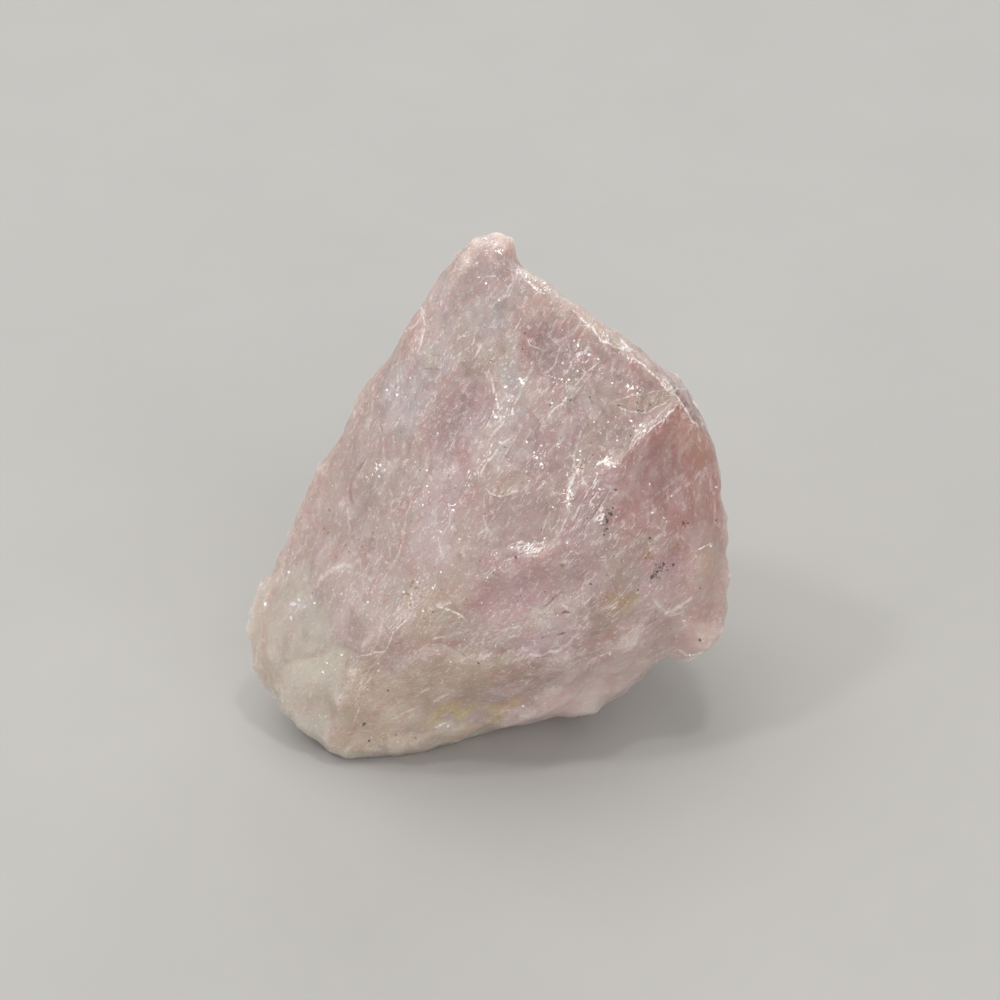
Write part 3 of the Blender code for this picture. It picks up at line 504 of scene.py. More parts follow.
BACK_LINES = (
    ("long back crack", 0.08, 0.50, ((-8.0, 26.0), (-5.0, 22.5), (-4.2, 18.0), (-1.0, 14.5))),
    ("back crack branch", 0.06, 0.45, ((-4.2, 18.0), (-1.5, 18.4), (1.6, 20.6), (4.4, 21.0))),
    ("side crack", 0.07, 0.50, ((7.0, 26.5), (9.5, 23.0), (13.0, 20.5), (16.0, 16.0))),
    ("low crack", 0.07, 0.45, ((-12.0, 8.0), (-8.0, 6.2), (-4.0, 6.8), (0.0, 4.5))),
    ("low swoosh", 0.10, 0.35, ((4.0, 9.0), (8.0, 7.0), (12.0, 7.4), (15.0, 10.0))),
)
BACK_SHADES = (
    ("back shade", 0.20, 0.35, ((2.0, 16.0), (4.0, 13.5), (5.0, 11.0), (8.0, 9.5))),
    ("back shade two", 0.14, 0.45, ((-10.0, 14.0), (-8.6, 11.6), (-8.2, 9.0))),
    ("back shade low", 0.18, 0.35, ((-3.0, 2.4), (1.0, 1.6), (4.4, 2.6))),
)
BACK_SPECKS = ((-2.0, 20.0, 0.10), (4.0, 15.4, 0.14), (4.6, 14.2, 0.10), (9.0, 12.0, 0.12),
               (-9.0, 3.0, 0.14), (1.0, 7.6, 0.16), (2.2, 8.4, 0.12), (12.6, 17.0, 0.10))
BACK_QUIET = (
    ("back lobe", 0.70, -16.0, 4.0, 6.0, 6.0, 50),
    ("back side", 0.60, 14.0, 15.0, 6.0, 4.0, 60),
    ("back foot", 0.50, 0.0, 0.0, 12.0, 4.0, 10),
)

# Marks that are only scattered: how many, and over which stretch of u and v
STROKE_COUNT = 70
STROKE_SPREAD = radians(16.0)   # how far the strokes' directions stray from the grain
STROKE_HALF = (0.4, 1.7)        # half their length, from the least to the most
STROKE_BEND = 0.15              # the most that one bends, as a share of its half length
STROKE_WIDTH = (0.04, 0.09)     # half their width
FRONT_STROKES = (0.05, 0.34)    # their strength on the front
BACK_STROKES = (0.25, 0.70)     # and on the back
PATCH_COUNT = 18                # of the back's crushed patches
PATCH_SPREAD = 22.0             # how far their slants stray, in degrees
PATCH_HALF = (0.6, 2.0)
PATCH_SHAPE = (0.25, 0.6)       # a patch's width as a share of its length
PATCH_STRENGTH = (0.5, 1.0)
GLINTS_A_PATCH = 5
GLINT_RADIUS = (0.06, 0.12)
FRONT_SPAN = ((-20.0, 20.0), (-6.0, 36.0))
BACK_SPAN = ((-19.0, 19.0), (-4.0, 35.0))
FRONT_STROKE_SEED = 3
BACK_STROKE_SEED = 4
PATCH_SEED = 5
GLINT_SEED = 6


def scattered_strokes(seed, span, strengths):
    """Short, slightly bent hairlines that follow the fracture grain."""
    chance = random.Random(seed)
    rows = []
    for number in range(STROKE_COUNT):
        u, v = (chance.uniform(*limits) for limits in span)
        angle = GRAIN + chance.gauss(0.0, STROKE_SPREAD)
        half = chance.uniform(*STROKE_HALF)
        bend = chance.uniform(-STROKE_BEND, STROKE_BEND) * half
        reach_u = half * cos(angle)
        reach_v = half * sin(angle)
        path = ((u - reach_u, v - reach_v), (u - bend * sin(angle), v + bend * cos(angle)),
                (u + reach_u, v + reach_v))
        width = chance.uniform(*STROKE_WIDTH)
        rows.append((f"stroke {number}", width, chance.uniform(*strengths), path))
    return rows


def scattered_frost(seed, span):
    """Patches of crushed, sparkling stone, drawn out along the grain."""
    chance = random.Random(seed)
    rows = []
    for number in range(PATCH_COUNT):
        u, v = (chance.uniform(*limits) for limits in span)
        half_length = chance.uniform(*PATCH_HALF)
        slant = degrees(GRAIN) + chance.gauss(0.0, PATCH_SPREAD)
        rows.append((f"patch {number}", chance.uniform(*PATCH_STRENGTH), u, v, half_length,
                     half_length * chance.uniform(*PATCH_SHAPE), slant))
    return rows


def glints_round(patches, seed):
    """Painted glints in and round the crushed patches."""
    chance = random.Random(seed)
    return [(u + chance.gauss(0.0, half_length), v + chance.gauss(0.0, half_length),
             chance.uniform(*GLINT_RADIUS))
            for _name, _strength, u, v, half_length, _half_width, _slant in patches
            for _glint in range(GLINTS_A_PATCH)]


BACK_FROST = scattered_frost(PATCH_SEED, BACK_SPAN)
BACK_GLINTS = glints_round(BACK_FROST, GLINT_SEED)


# ---------------------------------------------------------------- camera and light

CAMERA_TARGET = Vector((1.16, 9.17, 12.77)) * MM        # the chart's middle, upright
CAMERA_SENSOR = 36.0
CAMERA_LENS = CAMERA_SENSOR * SIGHT_DISTANCE / (2.0 * CHART_MIDDLE * CHART_UNIT)
CAMERA_NEAREST = 0.01           # nothing closer is drawn, in metres
LIGHT_TARGET = Vector((0.0, 0.0, 20.0)) * MM
SKY_COLOUR = (0.90, 0.88, 0.86, 1.0)
SKY_STRENGTH = 0.45

# Soft studio light: big boxes above, in front, at the left and behind, and two small ones that
# make the glints. Each has a name, a place and a size in metres, a power and a colour.
SOFTBOXES = (
    ("overhead", (-0.18, 0.20, 0.62), 0.55, 2.3, (1.0, 0.99, 0.96)),
    ("front_fill", (0.30, -0.66, 0.30), 0.8, 3.6, (1.0, 0.98, 0.96)),
    ("left_fill", (-0.60, -0.30, 0.14), 0.6, 1.6, (1.0, 0.99, 0.97)),
    ("back_fill", (0.30, 0.80, 0.30), 0.8, 3.2, (1.0, 0.98, 0.96)),
    ("glint_left", (-0.30, -0.10, 0.50), 0.06, 0.5, (1.0, 1.0, 1.0)),
    ("glint_top", (0.08, -0.05, 0.60), 0.06, 0.5, (1.0, 1.0, 1.0)),
)


def aim(thing, target):
    """Turn a camera or a light to face the target."""
    thing.rotation_euler = (target - thing.location).to_track_quat("-Z", "Y").to_euler()


def add_camera():
    """Look down at the front face, square on to it."""
    data = bpy.data.cameras.new("camera")
    data.lens = CAMERA_LENS
    data.sensor_width = CAMERA_SENSOR
    data.clip_start = CAMERA_NEAREST
    camera = bpy.data.objects.new("camera", data)
    bpy.context.scene.collection.objects.link(camera)
    outward = Vector((0.0, -cos(FACE_LEAN), sin(FACE_LEAN)))
    camera.location = CAMERA_TARGET + outward * SIGHT_DISTANCE * MM
    aim(camera, CAMERA_TARGET)
    bpy.context.scene.camera = camera


def add_softbox(name, place, size, power, colour):
    """A square area light that faces the stone."""
    data = bpy.data.lights.new(name, "AREA")
    data.shape = "SQUARE"
    data.size = size
    data.energy = power
    data.color = colour
    light = bpy.data.objects.new(name, data)
    bpy.context.scene.collection.objects.link(light)
    light.location = place
    aim(light, LIGHT_TARGET)


def add_lights():
    """The softboxes, and a dim even light from all round."""
    for softbox in SOFTBOXES:
        add_softbox(*softbox)
    world = bpy.data.worlds.new("studio")
    world.use_nodes = True
    sky = world.node_tree.nodes["Background"]
    sky.inputs["Color"].default_value = SKY_COLOUR
    sky.inputs["Strength"].default_value = SKY_STRENGTH
    bpy.context.scene.world = world
    bpy.context.scene.view_settings.view_transform = "Standard"


# ---------------------------------------------------------------- node helpers

class Nodes:
    """Short calls for the nodes of one material."""

    def __init__(self, material):
        material.use_nodes = True
        self.tree = material.node_tree
        self.shader = self.tree.nodes["Principled BSDF"]

    def feed(self, socket, value):
        if isinstance(value, bpy.types.NodeSocket):
            self.tree.links.new(value, socket)
        else:
            socket.default_value = value

    def add(self, kind, inputs, **settings):
        node = self.tree.nodes.new(kind)
        for key, value in settings.items():
            setattr(node, key, value)
        for key, value in inputs.items():
            self.feed(node.inputs[key], value)
        return node

    def math(self, operation, first, second=0.0):
        inputs = {0: first, 1: second}
        return self.add("ShaderNodeMath", inputs, operation=operation).outputs[0]

    def product(self, first, *others):
        for other in others:
            first = self.math("MULTIPLY", first, other)
        return first

    def vector(self, operation, first, second=(0.0, 0.0, 0.0)):
        node = self.add("ShaderNodeVectorMath", {0: first, 1: second}, operation=operation)
        return node.outputs["Value" if operation in ("LENGTH", "DOT_PRODUCT") else "Vector"]

    def noise(self, vector, scale, detail, roughness):
        inputs = {"Vector": vector, "Scale": scale, "Detail": detail, "Roughness": roughness}
        return self.add("ShaderNodeTexNoise", inputs).outputs["Fac"]

    def voronoi(self, vector, scale, feature="F1"):
        return self.add("ShaderNodeTexVoronoi", {"Vector": vector, "Scale": scale}, feature=feature)

    def ramp(self, value, low, high, to_low=0.0, to_high=1.0):
        inputs = {"Value": value, "From Min": low, "From Max": high,
                  "To Min": to_low, "To Max": to_high}
        node = self.add("ShaderNodeMapRange", inputs, interpolation_type="SMOOTHSTEP")
        return node.outputs["Result"]

    def mix(self, share, first, second):
        node = self.add("ShaderNodeMix", {0: share, 6: first, 7: second}, data_type="RGBA")
        return node.outputs[2]

    def blend(self, share, first, second):
        return self.add("ShaderNodeMix", {0: share, 2: first, 3: second}).outputs[0]

    def stored(self, name, output="Fac"):
        return self.add("ShaderNodeAttribute", {}, attribute_name=name).outputs[output]

    def cover(self, colour, mask, share, tint):
        """Lay a tint over the colour where the mask is, at the given share."""
        return self.mix(self.product(mask, share), colour, tint)

    def layer(self, colour, value, layer, within=None):
        """Lay one of the named layers over the colour, by a value that runs over its limits."""
        low, high, share, tint = layer
        shown = self.ramp(value, low, high, 0.0, share)
        if within is not None:
            shown = self.product(shown, within)
        return self.mix(shown, colour, tint)


# ---------------------------------------------------------------- floor

FLOOR_HALF = 4.0                # in metres
FLOOR_DARK = (*srgb(167, 166, 164), 1.0)
FLOOR_LIGHT = (*srgb(173, 172, 170), 1.0)
FLOOR_MOTTLE = (60.0, 4.0, 0.6)         # the noise's scale, detail and roughness
FLOOR_ROUGHNESS = 0.8


def add_floor():
    """A wide pale sheet."""
    mesh = bpy.data.meshes.new("floor")
    half = FLOOR_HALF
    corners = [(-half, -half, 0.0), (half, -half, 0.0), (half, half, 0.0), (-half, half, 0.0)]
    mesh.from_pydata(corners, [], [(0, 1, 2, 3)])
    sheet = bpy.data.objects.new("floor", mesh)
    bpy.context.scene.collection.objects.link(sheet)
    material = bpy.data.materials.new("pale_floor")
    nodes = Nodes(material)
    place = nodes.add("ShaderNodeTexCoord", {}).outputs["Object"]
    mottle = nodes.noise(place, *FLOOR_MOTTLE)
    nodes.feed(nodes.shader.inputs["Base Color"], nodes.mix(mottle, FLOOR_DARK, FLOOR_LIGHT))
    nodes.shader.inputs["Roughness"].default_value = FLOOR_ROUGHNESS
    mesh.materials.append(material)


# ---------------------------------------------------------------- fields over the stone

def upright_to_face(places):
    """Places given upright, as rows of x, y and z, in the front face's u, v and w."""
    x, y, z = places.T
    v = y * sin(FACE_LEAN) + z * cos(FACE_LEAN)
    w = z * sin(FACE_LEAN) - y * cos(FACE_LEAN)
    return np.stack([x, v, w], axis=1)


def sighted(face):
    """Where places in the face's frame are in u and v, seen from the sight distance."""
    from_middle = face - CHART_CENTRE
    closeness = SIGHT_DISTANCE / (SIGHT_DISTANCE - from_middle[:, 2:])
    return CHART_CENTRE[:2] + from_middle[:, :2] * closeness


def from_chart(x, y):
    """The u and v of a place on the chart."""
    return (CHART_CENTRE[0] + (x - CHART_MIDDLE) * CHART_UNIT,
            CHART_CENTRE[1] + (CHART_MIDDLE - y) * CHART_UNIT)


def ovals(rows):
    """Rows that end with an oval on the chart, in millimetres."""
    return [(*lead, *from_chart(x, y), length * CHART_UNIT, width * CHART_UNIT, slant)
            for *lead, x, y, length, width, slant in rows]


def outlines(rows):
    """Rows that end with a softness and an outline on the chart, in millimetres."""
    return [(*lead, softness * CHART_UNIT, [from_chart(*corner) for corner in outline])
            for *lead, softness, outline in rows]


def paths(rows):
    """Hairlines on the chart, in millimetres."""
    return [(name, width * CHART_UNIT, strength, [from_chart(*bend) for bend in path])
            for name, width, strength, path in rows]


def specks(rows):
    """Specks on the chart, in millimetres."""
    return [(*from_chart(x, y), radius * CHART_UNIT) for x, y, radius in rows]


def smooth_fall(value, full, none):
    """1 up to full, 0 from none on, and a smooth fall between."""
    share = np.clip((none - value) / (none - full), 0.0, 1.0)
    return share * share * (3.0 - 2.0 * share)


def noise_field(places, size, shift):
    """Soft noise of the given size at every place."""
    return np.array([noise.noise(Vector(place) / size + shift) for place in places.tolist()])


def patchy(places, sizes, shift):
    """Noise of several sizes laid together, evened out to a spread of one."""
    field = sum(noise_field(places, size, shift) * size ** SIZE_POWER for size in sizes)
    return field / field.std()


def patch_share(spots, u, v, half_length, half_width, slant, fade=PATCH_FADE):
    """How far inside an oval patch each spot lies, from 1 in its middle to 0 outside."""
    angle = radians(slant)
    from_u = spots[:, 0] - u
    from_v = spots[:, 1] - v
    along = (from_u * cos(angle) + from_v * sin(angle)) / half_length
    across = (from_v * cos(angle) - from_u * sin(angle)) / half_width
    return smooth_fall(np.hypot(along, across), *fade)


def patch_field(spots, patches):
    """The strongest of the named patches at each spot."""
    field = np.zeros(len(spots))
    for _name, strength, *oval in patches:
        field = np.maximum(field, strength * patch_share(spots, *oval))
    return field


def segment_gap(spots, first, last):
    """For each spot: its distance to a straight stretch, the side it lies on, how far along it
    is and how far past an end. Then the stretch's length."""
    run_u = last[0] - first[0]
    run_v = last[1] - first[1]
    length = hypot(run_u, run_v)
    from_u = spots[:, 0] - first[0]
    from_v = spots[:, 1] - first[1]
    run = (from_u * run_u + from_v * run_v) / length
    held = np.clip(run, 0.0, length)
    away = (from_v * run_u - from_u * run_v) / length
    overshoot = np.abs(run - held)
    return np.hypot(away, overshoot), np.sign(away), held, overshoot, length


def outline_gap(spots, outline):
    """Distance to a closed outline, negative inside it."""
    gap = np.full(len(spots), FAR)
    inside = np.zeros(len(spots), bool)
    for first, last in zip(outline, outline[1:] + outline[:1]):
        gap = np.minimum(gap, segment_gap(spots, first, last)[0])
        rise = (last[1] - first[1]) or 1.0      # no spot is beside a level stretch
        reached = first[0] + (last[0] - first[0]) * (spots[:, 1] - first[1]) / rise
        beside = (first[1] > spots[:, 1]) != (last[1] > spots[:, 1])
        inside ^= beside & (spots[:, 0] < reached)
    return np.where(inside, -gap, gap)


def line_field(spots, lines):
    """At each spot: how far the nearest hairline is, in half widths and with its side, and
    how strong it is there."""
    offset = np.full(len(spots), FAR)
    strength_there = np.zeros(len(spots))
    nearest = np.full(len(spots), LINE_REACH)
    for _name, half_width, strength, path in lines:
        stretches = list(zip(path, path[1:]))
        total = sum(hypot(b[0] - a[0], b[1] - a[1]) for a, b in stretches)
        done = 0.0
        for first, last in stretches:
            gap, side, held, overshoot, length = segment_gap(spots, first, last)
            place = (done + held) / total
            taper = np.clip(LINE_TAPER * np.minimum(place, 1.0 - place) + LINE_TIP, 0.0, 1.0)
            at_end = first == path[0] or last == path[-1]
            end_fade = smooth_fall(overshoot, *END_FADE) if at_end else 1.0
            closer = gap < nearest
            shown = strength * taper * end_fade * smooth_fall(gap, *LINE_FADE)
            offset = np.where(closer, side * gap / half_width, offset)
            strength_there = np.where(closer, shown, strength_there)
            nearest = np.where(closer, gap, nearest)
            done += length
    return offset, strength_there


def spot_field(spots, rows, slimness):
    """At each spot, the way from the nearest speck in speck radii, or FAR. Each speck is
    turned its own way and drawn out by its slimness."""
    field = np.full((len(spots), 3), FAR)
    nearest = np.full(len(spots), SPOT_REACH)
    for number, (u, v, radius) in enumerate(rows):
        away = spots - (u, v)
        gap = np.hypot(away[:, 0], away[:, 1])
        closer = gap < nearest
        turn = SPECK_TURN * number
        along = away @ (cos(turn), sin(turn)) / (radius * slimness)
        across = away @ (-sin(turn), cos(turn)) / radius * slimness
        field[closer] = np.stack([along, across, np.zeros_like(gap)], axis=1)[closer]
        nearest = np.where(closer, gap, nearest)
    return field


def laid(colour, tint, light, share):
    """The colour, with a named tint of the given lightness laid over it at a share."""
    return colour + share[:, None] * (np.array(COLOURS[tint]) * light - colour)


def clouded(colour, spots, side, clouds):
    """The colour, with the named clouds of one side laid over it."""
    for _name, tint, light, strength, *oval in clouds:
        colour = laid(colour, tint, light, strength * side * patch_share(spots, *oval, CLOUD_FADE))
    return colour


def faceted(colour, spots, side, facets):
    """The colour, with the named facets of one side laid over it."""
    for _name, tint, light, strength, softness, outline in facets:
        inside = smooth_fall(outline_gap(spots, outline), -softness, softness)
        colour = laid(colour, tint, light, strength * side * inside)
    return colour


# ---------------------------------------------------------------- the stone's fine mesh

def read_points(mesh, field):
    """A triple of every point of the mesh, as rows."""
    rows = np.zeros(len(mesh.vertices) * 3)
    mesh.vertices.foreach_get(field, rows)
    return rows.reshape(-1, 3)


def store(mesh, name, values):
    """Keep a value, or a triple, for each point of the mesh under a name."""
    single = values.ndim == 1
    attribute = mesh.attributes.new(name, "FLOAT" if single else "FLOAT_VECTOR", "POINT")
    attribute.data.foreach_set("value" if single else "vector", values.astype(np.float32).ravel())


def remeshed(node):
    """The solid's mesh as evenly spaced fine quads, closed, with its facets eased."""
    mesh = bmesh.new()
    mesh.from_mesh(node.data)
    bmesh.ops.remove_doubles(mesh, verts=mesh.verts, dist=WELD)
    data = bpy.data.meshes.new("solid")
    mesh.to_mesh(data)
    mesh.free()
    solid = bpy.data.objects.new("solid", data)
    bpy.context.scene.collection.objects.link(solid)
    fine = solid.modifiers.new("fine", "REMESH")
    fine.mode = "VOXEL"
    fine.voxel_size = VOXEL * MM
    ease = solid.modifiers.new("ease", "SMOOTH")
    ease.factor = 0.5
    ease.iterations = EASE_PASSES
    graph = bpy.context.evaluated_depsgraph_get()
    made = bpy.data.meshes.new_from_object(solid.evaluated_get(graph))
    bpy.data.objects.remove(solid, do_unlink=True)
    made.name = "morganite_stone"
    return made


def softened(places, links, passes):
    """The places after each has moved halfway to the mean of its neighbours, many times."""
    ends = np.concatenate([links[:, 0], links[:, 1]])
    others = np.concatenate([links[:, 1], links[:, 0]])
    neighbours = np.bincount(ends, minlength=len(places))
    for _pass in range(passes):
        means = [np.bincount(ends, axis[others]) / neighbours for axis in places.T]
        places = 0.5 * (places + np.stack(means, axis=1))
    return places


def jut(places, normals, links, passes):
    """How far each place juts out of its softened surroundings, in millimetres."""
    return ((places - softened(places, links, passes)) * normals).sum(axis=1) / MM


def along_grain(face):
    """Each place's way along the grain, across it and out, where the grain turns low down."""
    above = face[:, 1] - LOW_GRAIN_RISE * face[:, 0]
    angle = GRAIN + smooth_fall(above, 0.0, LOW_GRAIN_FADE) * (LOW_GRAIN - GRAIN)
    from_u = face[:, 0] - GRAIN_PIVOT[0]
    from_v = face[:, 1] - GRAIN_PIVOT[1]
    along = from_u * np.cos(angle) + from_v * np.sin(angle)
    across = from_v * np.cos(angle) - from_u * np.sin(angle)
    return np.stack([along, across, face[:, 2]], axis=1)


# The relief's forms: how wide each is, and how many times as long along the grain.
SCAR = (1.7, 1.8)
FLAKE = (0.8, 1.7)
STEP = (6.0, 1.6)
FIBRE = (0.5, 4.0)
SCAR_DEPTH = 0.10
FLAKE_DEPTH = 0.05
STEP_HEIGHT = 0.03
FIBRE_HEIGHT = 0.03
SCAR_POWER = 1.6                # the higher, the flatter a scar's or a flake's floor
FLAKE_POWER = 1.3
HOLLOW_REACH = 0.9              # a hollow rises from its middle out to this distance,
HOLLOW_MEAN = 0.4               # and about its mean height is taken off it
STEP_FRACTAL = (1.0, 2.1, 2)    # fall-off, step between the sizes, and how many sizes
FIBRE_FRACTAL = (0.7, 2.1, 2)
STEPS = 5.0                     # how closely the steps follow each other
STEP_SHARE = 0.25               # a step's rise takes up this share of its width
CHIP_SPREAD = (9.1, 7.3, 8.7)   # large numbers, so that neighbouring chips tilt unlike ways
CHIP_SHIFT = 2.0


def grain_space(place, width, stretch):
    """The place in a space that is stretched along the fracture grain."""
    along = place[0] * cos(GRAIN) + place[1] * sin(GRAIN)
    across = place[1] * cos(GRAIN) - place[0] * sin(GRAIN)
    return Vector((along / (width * stretch), across / width, place[2] / width))


def hollow(place, form, power):
    """Height of a field of rounded hollows that meet in ridges."""
    away = noise.voronoi(grain_space(place, *form))[0][0]
    return min(HOLLOW_REACH, away) ** power - HOLLOW_MEAN


def terrace(value):
    """A surface that falls gently and rises in abrupt steps, as the value rises evenly."""
    part = value - floor(value)
    rise = min(1.0, part / STEP_SHARE)
    return rise * rise * (3.0 - 2.0 * rise) - part


def relief(place):
    """Height of the fine broken surface at a place, in millimetres."""
    level = STEPS * noise.fractal(grain_space(place, *STEP), *STEP_FRACTAL)
    fibres = noise.fractal(grain_space(place, *FIBRE), *FIBRE_FRACTAL)
    return (SCAR_DEPTH * hollow(place, SCAR, SCAR_POWER)
            + FLAKE_DEPTH * hollow(place, FLAKE, FLAKE_POWER)
            + STEP_HEIGHT * terrace(level) + FIBRE_HEIGHT * fibres)


def chipped_off(place):
    """Height of flat-sided chips that meet in sharp edges, for a slope of about one."""
    spot = Vector(place) / BACK_CHIP
    by_x, by_y, by_z = CHIP_SPREAD
    heights = []
    for middle in noise.voronoi(spot)[1]:
        tilt = Vector((sin(by_x * middle.x), sin(by_y * middle.y + CHIP_SHIFT),
                       sin(by_z * middle.z)))
        heights.append(BACK_CHIP * tilt.dot(spot - middle))
    return min(heights)


def carve(mesh, places, normals, broken, back):
    """Carve the fine relief where the stone is broken, split the back in chips, and keep the
    patch it rests on flat."""
    spots = upright_to_face(places / MM).tolist()
    relief_share = QUIET_RELIEF + (1.0 - QUIET_RELIEF) * broken
    chips_share = QUIET_CHIPS + (1.0 - QUIET_CHIPS) * broken
    heights = np.array([relief(spot) for spot in spots])
    heights *= relief_share * (1.0 + (BACK_DEPTH - 1.0) * back)
    chips_off = np.array([chipped_off(spot) for spot in spots])
    heights += BACK_CHIP_SLOPE * chips_share * back * chips_off
    off_ground = np.clip(places[:, 2] / (FLAT_FOOT * MM), 0.0, 1.0)
    carved = places + normals * (heights * off_ground * MM)[:, None]
    carved[:, 2] = np.maximum(carved[:, 2], 0.0)
    mesh.vertices.foreach_set("co", carved.ravel())
    mesh.update()
    return carved


def paint(mesh, cloudy, lined, front):
    """Store the stone's colour, laid in from both sides, on its points."""
    back = 1.0 - front
    colour = np.tile(COLOURS["body"], (len(front), 1))
    colour = clouded(colour, cloudy, back, BACK_CLOUDS)
    colour = clouded(colour, cloudy, front, ovals(FRONT_CLOUDS))
    colour = faceted(colour, lined, front, outlines(FRONT_FACETS))
    # Painted shade: the front is painted deeper towards the crown, where the light from above falls
    # brightest.
    low, high = CROWN_SHADE_RISE
    risen = np.clip((lined[:, 1] - low) / (high - low), 0.0, 1.0)
    depth = COLOUR_DEPTH * (1.0 - CROWN_PAINTED_SHADE * front * risen)
    grey = colour.mean(axis=1, keepdims=True)
    store(mesh, "tint", depth[:, None] * (grey + RICHNESS * (colour - grey)))


def draw_lines(mesh, lined, front):
    """Store how near each point is to the hairlines."""
    seen = front > 0.5
    pale_front = scattered_strokes(FRONT_STROKE_SEED, FRONT_SPAN, FRONT_STROKES)
    pale_front += paths(PALE_LINES)
    pale_back = scattered_strokes(BACK_STROKE_SEED, BACK_SPAN, BACK_STROKES)
    pale_back += BACK_LINES
    for name, front_lines, back_lines in (("pale", pale_front, pale_back),
                                          ("dark", paths(DARK_LINES), BACK_SHADES)):
        ahead = line_field(lined, front_lines)
        behind = line_field(lined, back_lines)
        store(mesh, name + "_gap", np.where(seen, ahead[0], behind[0]))
        store(mesh, name + "_share", np.where(seen, ahead[1] * front, behind[1] * (1.0 - front)))


def sprinkle(mesh, flat, front):
    """Store how near each point is to the specks and glints."""
    seen = (front > 0.5)[:, None]
    for name, ahead, behind in (("dark_specks", DARK_SPECKS, BACK_SPECKS),
                                ("rust_specks", RUST_SPECKS, ()),
                                ("glints", GLINTS, BACK_GLINTS),
                                ("rainbows", RAINBOWS, ())):
        slimness = SLIMNESS[name]
        field = np.where(seen, spot_field(flat, specks(ahead), slimness),
                         spot_field(flat, behind, slimness))
        store(mesh, name, field)


WARP_SIZES = (2.6, 1.1, 0.55)
CLOUD_WARPS = (1.3, 0.8, 0.4)           # how far clouds are warped at each size,
LINE_WARPS = (0.20, 0.15, 0.10)         # and hairlines and facets
FLOW = (0.55, 1.0, 1.0)                 # draws patches and veils out along the grain
PINK_SIZES = (1.7, 0.85, 0.45)
VEIL_SIZES = (2.4, 1.1, 0.55)
CLUSTER_SIZES = (3.0, 1.2)              # of the clusters of sparkle,
CLUSTER_FADE = (-0.9, 0.2)              # which fade out between these levels of the noise

# Each noise field is read at a place of its own
WARP_SHIFTS = ((3.1, 7.7), (9.2, 2.4))
PINK_SHIFT = Vector((4.4, 1.9, 8.6))
VEIL_SHIFT = Vector((6.5, 5.1, 0.2))
CLUSTER_SHIFT = Vector((2.2, 8.3, 4.9))


def warped(flat, warps, amounts):
    """The places shifted by the warps, each by its own amount."""
    for warp, amount in zip(warps, amounts):
        flat = flat + amount * warp
    return flat


def mark(mesh, face, front, broken):
    """Store what the material reads from the stone's points, apart from rim and ridges."""
    warps = [np.stack([noise_field(face, size, Vector((*shift, size))) for shift in WARP_SHIFTS],
                      axis=1)
             for size in WARP_SIZES]
    flat = np.where((front > 0.5)[:, None], sighted(face), face[:, :2])
    cloudy = warped(flat, warps, CLOUD_WARPS)
    lined = warped(flat, warps, LINE_WARPS)
    paint(mesh, cloudy, lined, front)
    draw_lines(mesh, lined, front)
    sprinkle(mesh, flat, front)
    back = 1.0 - front
    frost = front * patch_field(cloudy, ovals(FROST)) + back * patch_field(cloudy, BACK_FROST)
    clusters = -patchy(face, CLUSTER_SIZES, CLUSTER_SHIFT)
    grain = along_grain(face)
    store(mesh, "broken", broken)
    store(mesh, "frost", frost)
    store(mesh, "grain", grain)
    store(mesh, "pinkness", patchy(grain * FLOW, PINK_SIZES, PINK_SHIFT))
    store(mesh, "veils", patchy(grain * FLOW, VEIL_SIZES, VEIL_SHIFT))
    store(mesh, "lively", np.maximum(broken * smooth_fall(clusters, *CLUSTER_FADE), frost))


# ---------------------------------------------------------------- the stone's material

WHITE = (*srgb(243, 238, 236), 1.0)
VEIL = (*srgb(208, 196, 196), 1.0)
PINK = (*srgb(184, 126, 122), 1.0)
CREAM = (*srgb(184, 173, 156), 1.0)
TAN = (*srgb(152, 121, 97), 1.0)
DEEP = (*srgb(138, 96, 100), 1.0)
SHADE = (*srgb(112, 86, 92), 1.0)
EDGE_GLOW = (*srgb(232, 212, 204), 1.0)
BLACK_BROWN = (*srgb(48, 36, 34), 1.0)
RUST = (*srgb(150, 112, 66), 1.0)
OLIVE = (*srgb(110, 94, 62), 1.0)
# Painted highlight: pure white for the glints and the sparkle
SPARK = (1.0, 1.0, 1.0, 1.0)
RED_PART = (1.0, 0.0, 0.0)      # picks one part of a colour, as a chance value
GREEN_PART = (0.0, 1.0, 0.0)

# Each layer of colour: where its value starts to show it and shows it in full, its share there
# and its tint.
ROSY = (0.1, 2.0, 0.22, PINK)
CREAMY = (-0.1, -2.0, 0.24, CREAM)
VEILED = (0.2, 2.2, 0.24, VEIL)
TANNED = (-0.2, -2.2, 0.16, TAN)
PALE_CHIPS = (0.5, 0.85, 0.18, VEIL)
DEEP_CHIPS = (0.5, 0.15, 0.14, DEEP)
# Ridge tops: whitened partly as frosted fracture edges and partly as painted light; furrows: painted shade
# in pink.
LIT_AND_FROSTED_RIDGE_TOPS = (0.6, 2.8, 0.26, WHITE)
SHADED_FURROWS = (-0.4, -2.6, 0.14, PINK)
PALE_FIBRES = (0.56, 0.70, 0.45, WHITE)
PALE_MOTTLE = (0.50, 0.74, 0.16, VEIL)
PALE_GRIT = (0.54, 0.74, 0.20, WHITE)
DEEP_GRIT = (0.46, 0.26, 0.18, DEEP)
# Painted light along the sharp edges, as if light came through the stone's thin edges
EDGE_LIGHT = (0.08, 0.34, 0.65, EDGE_GLOW)

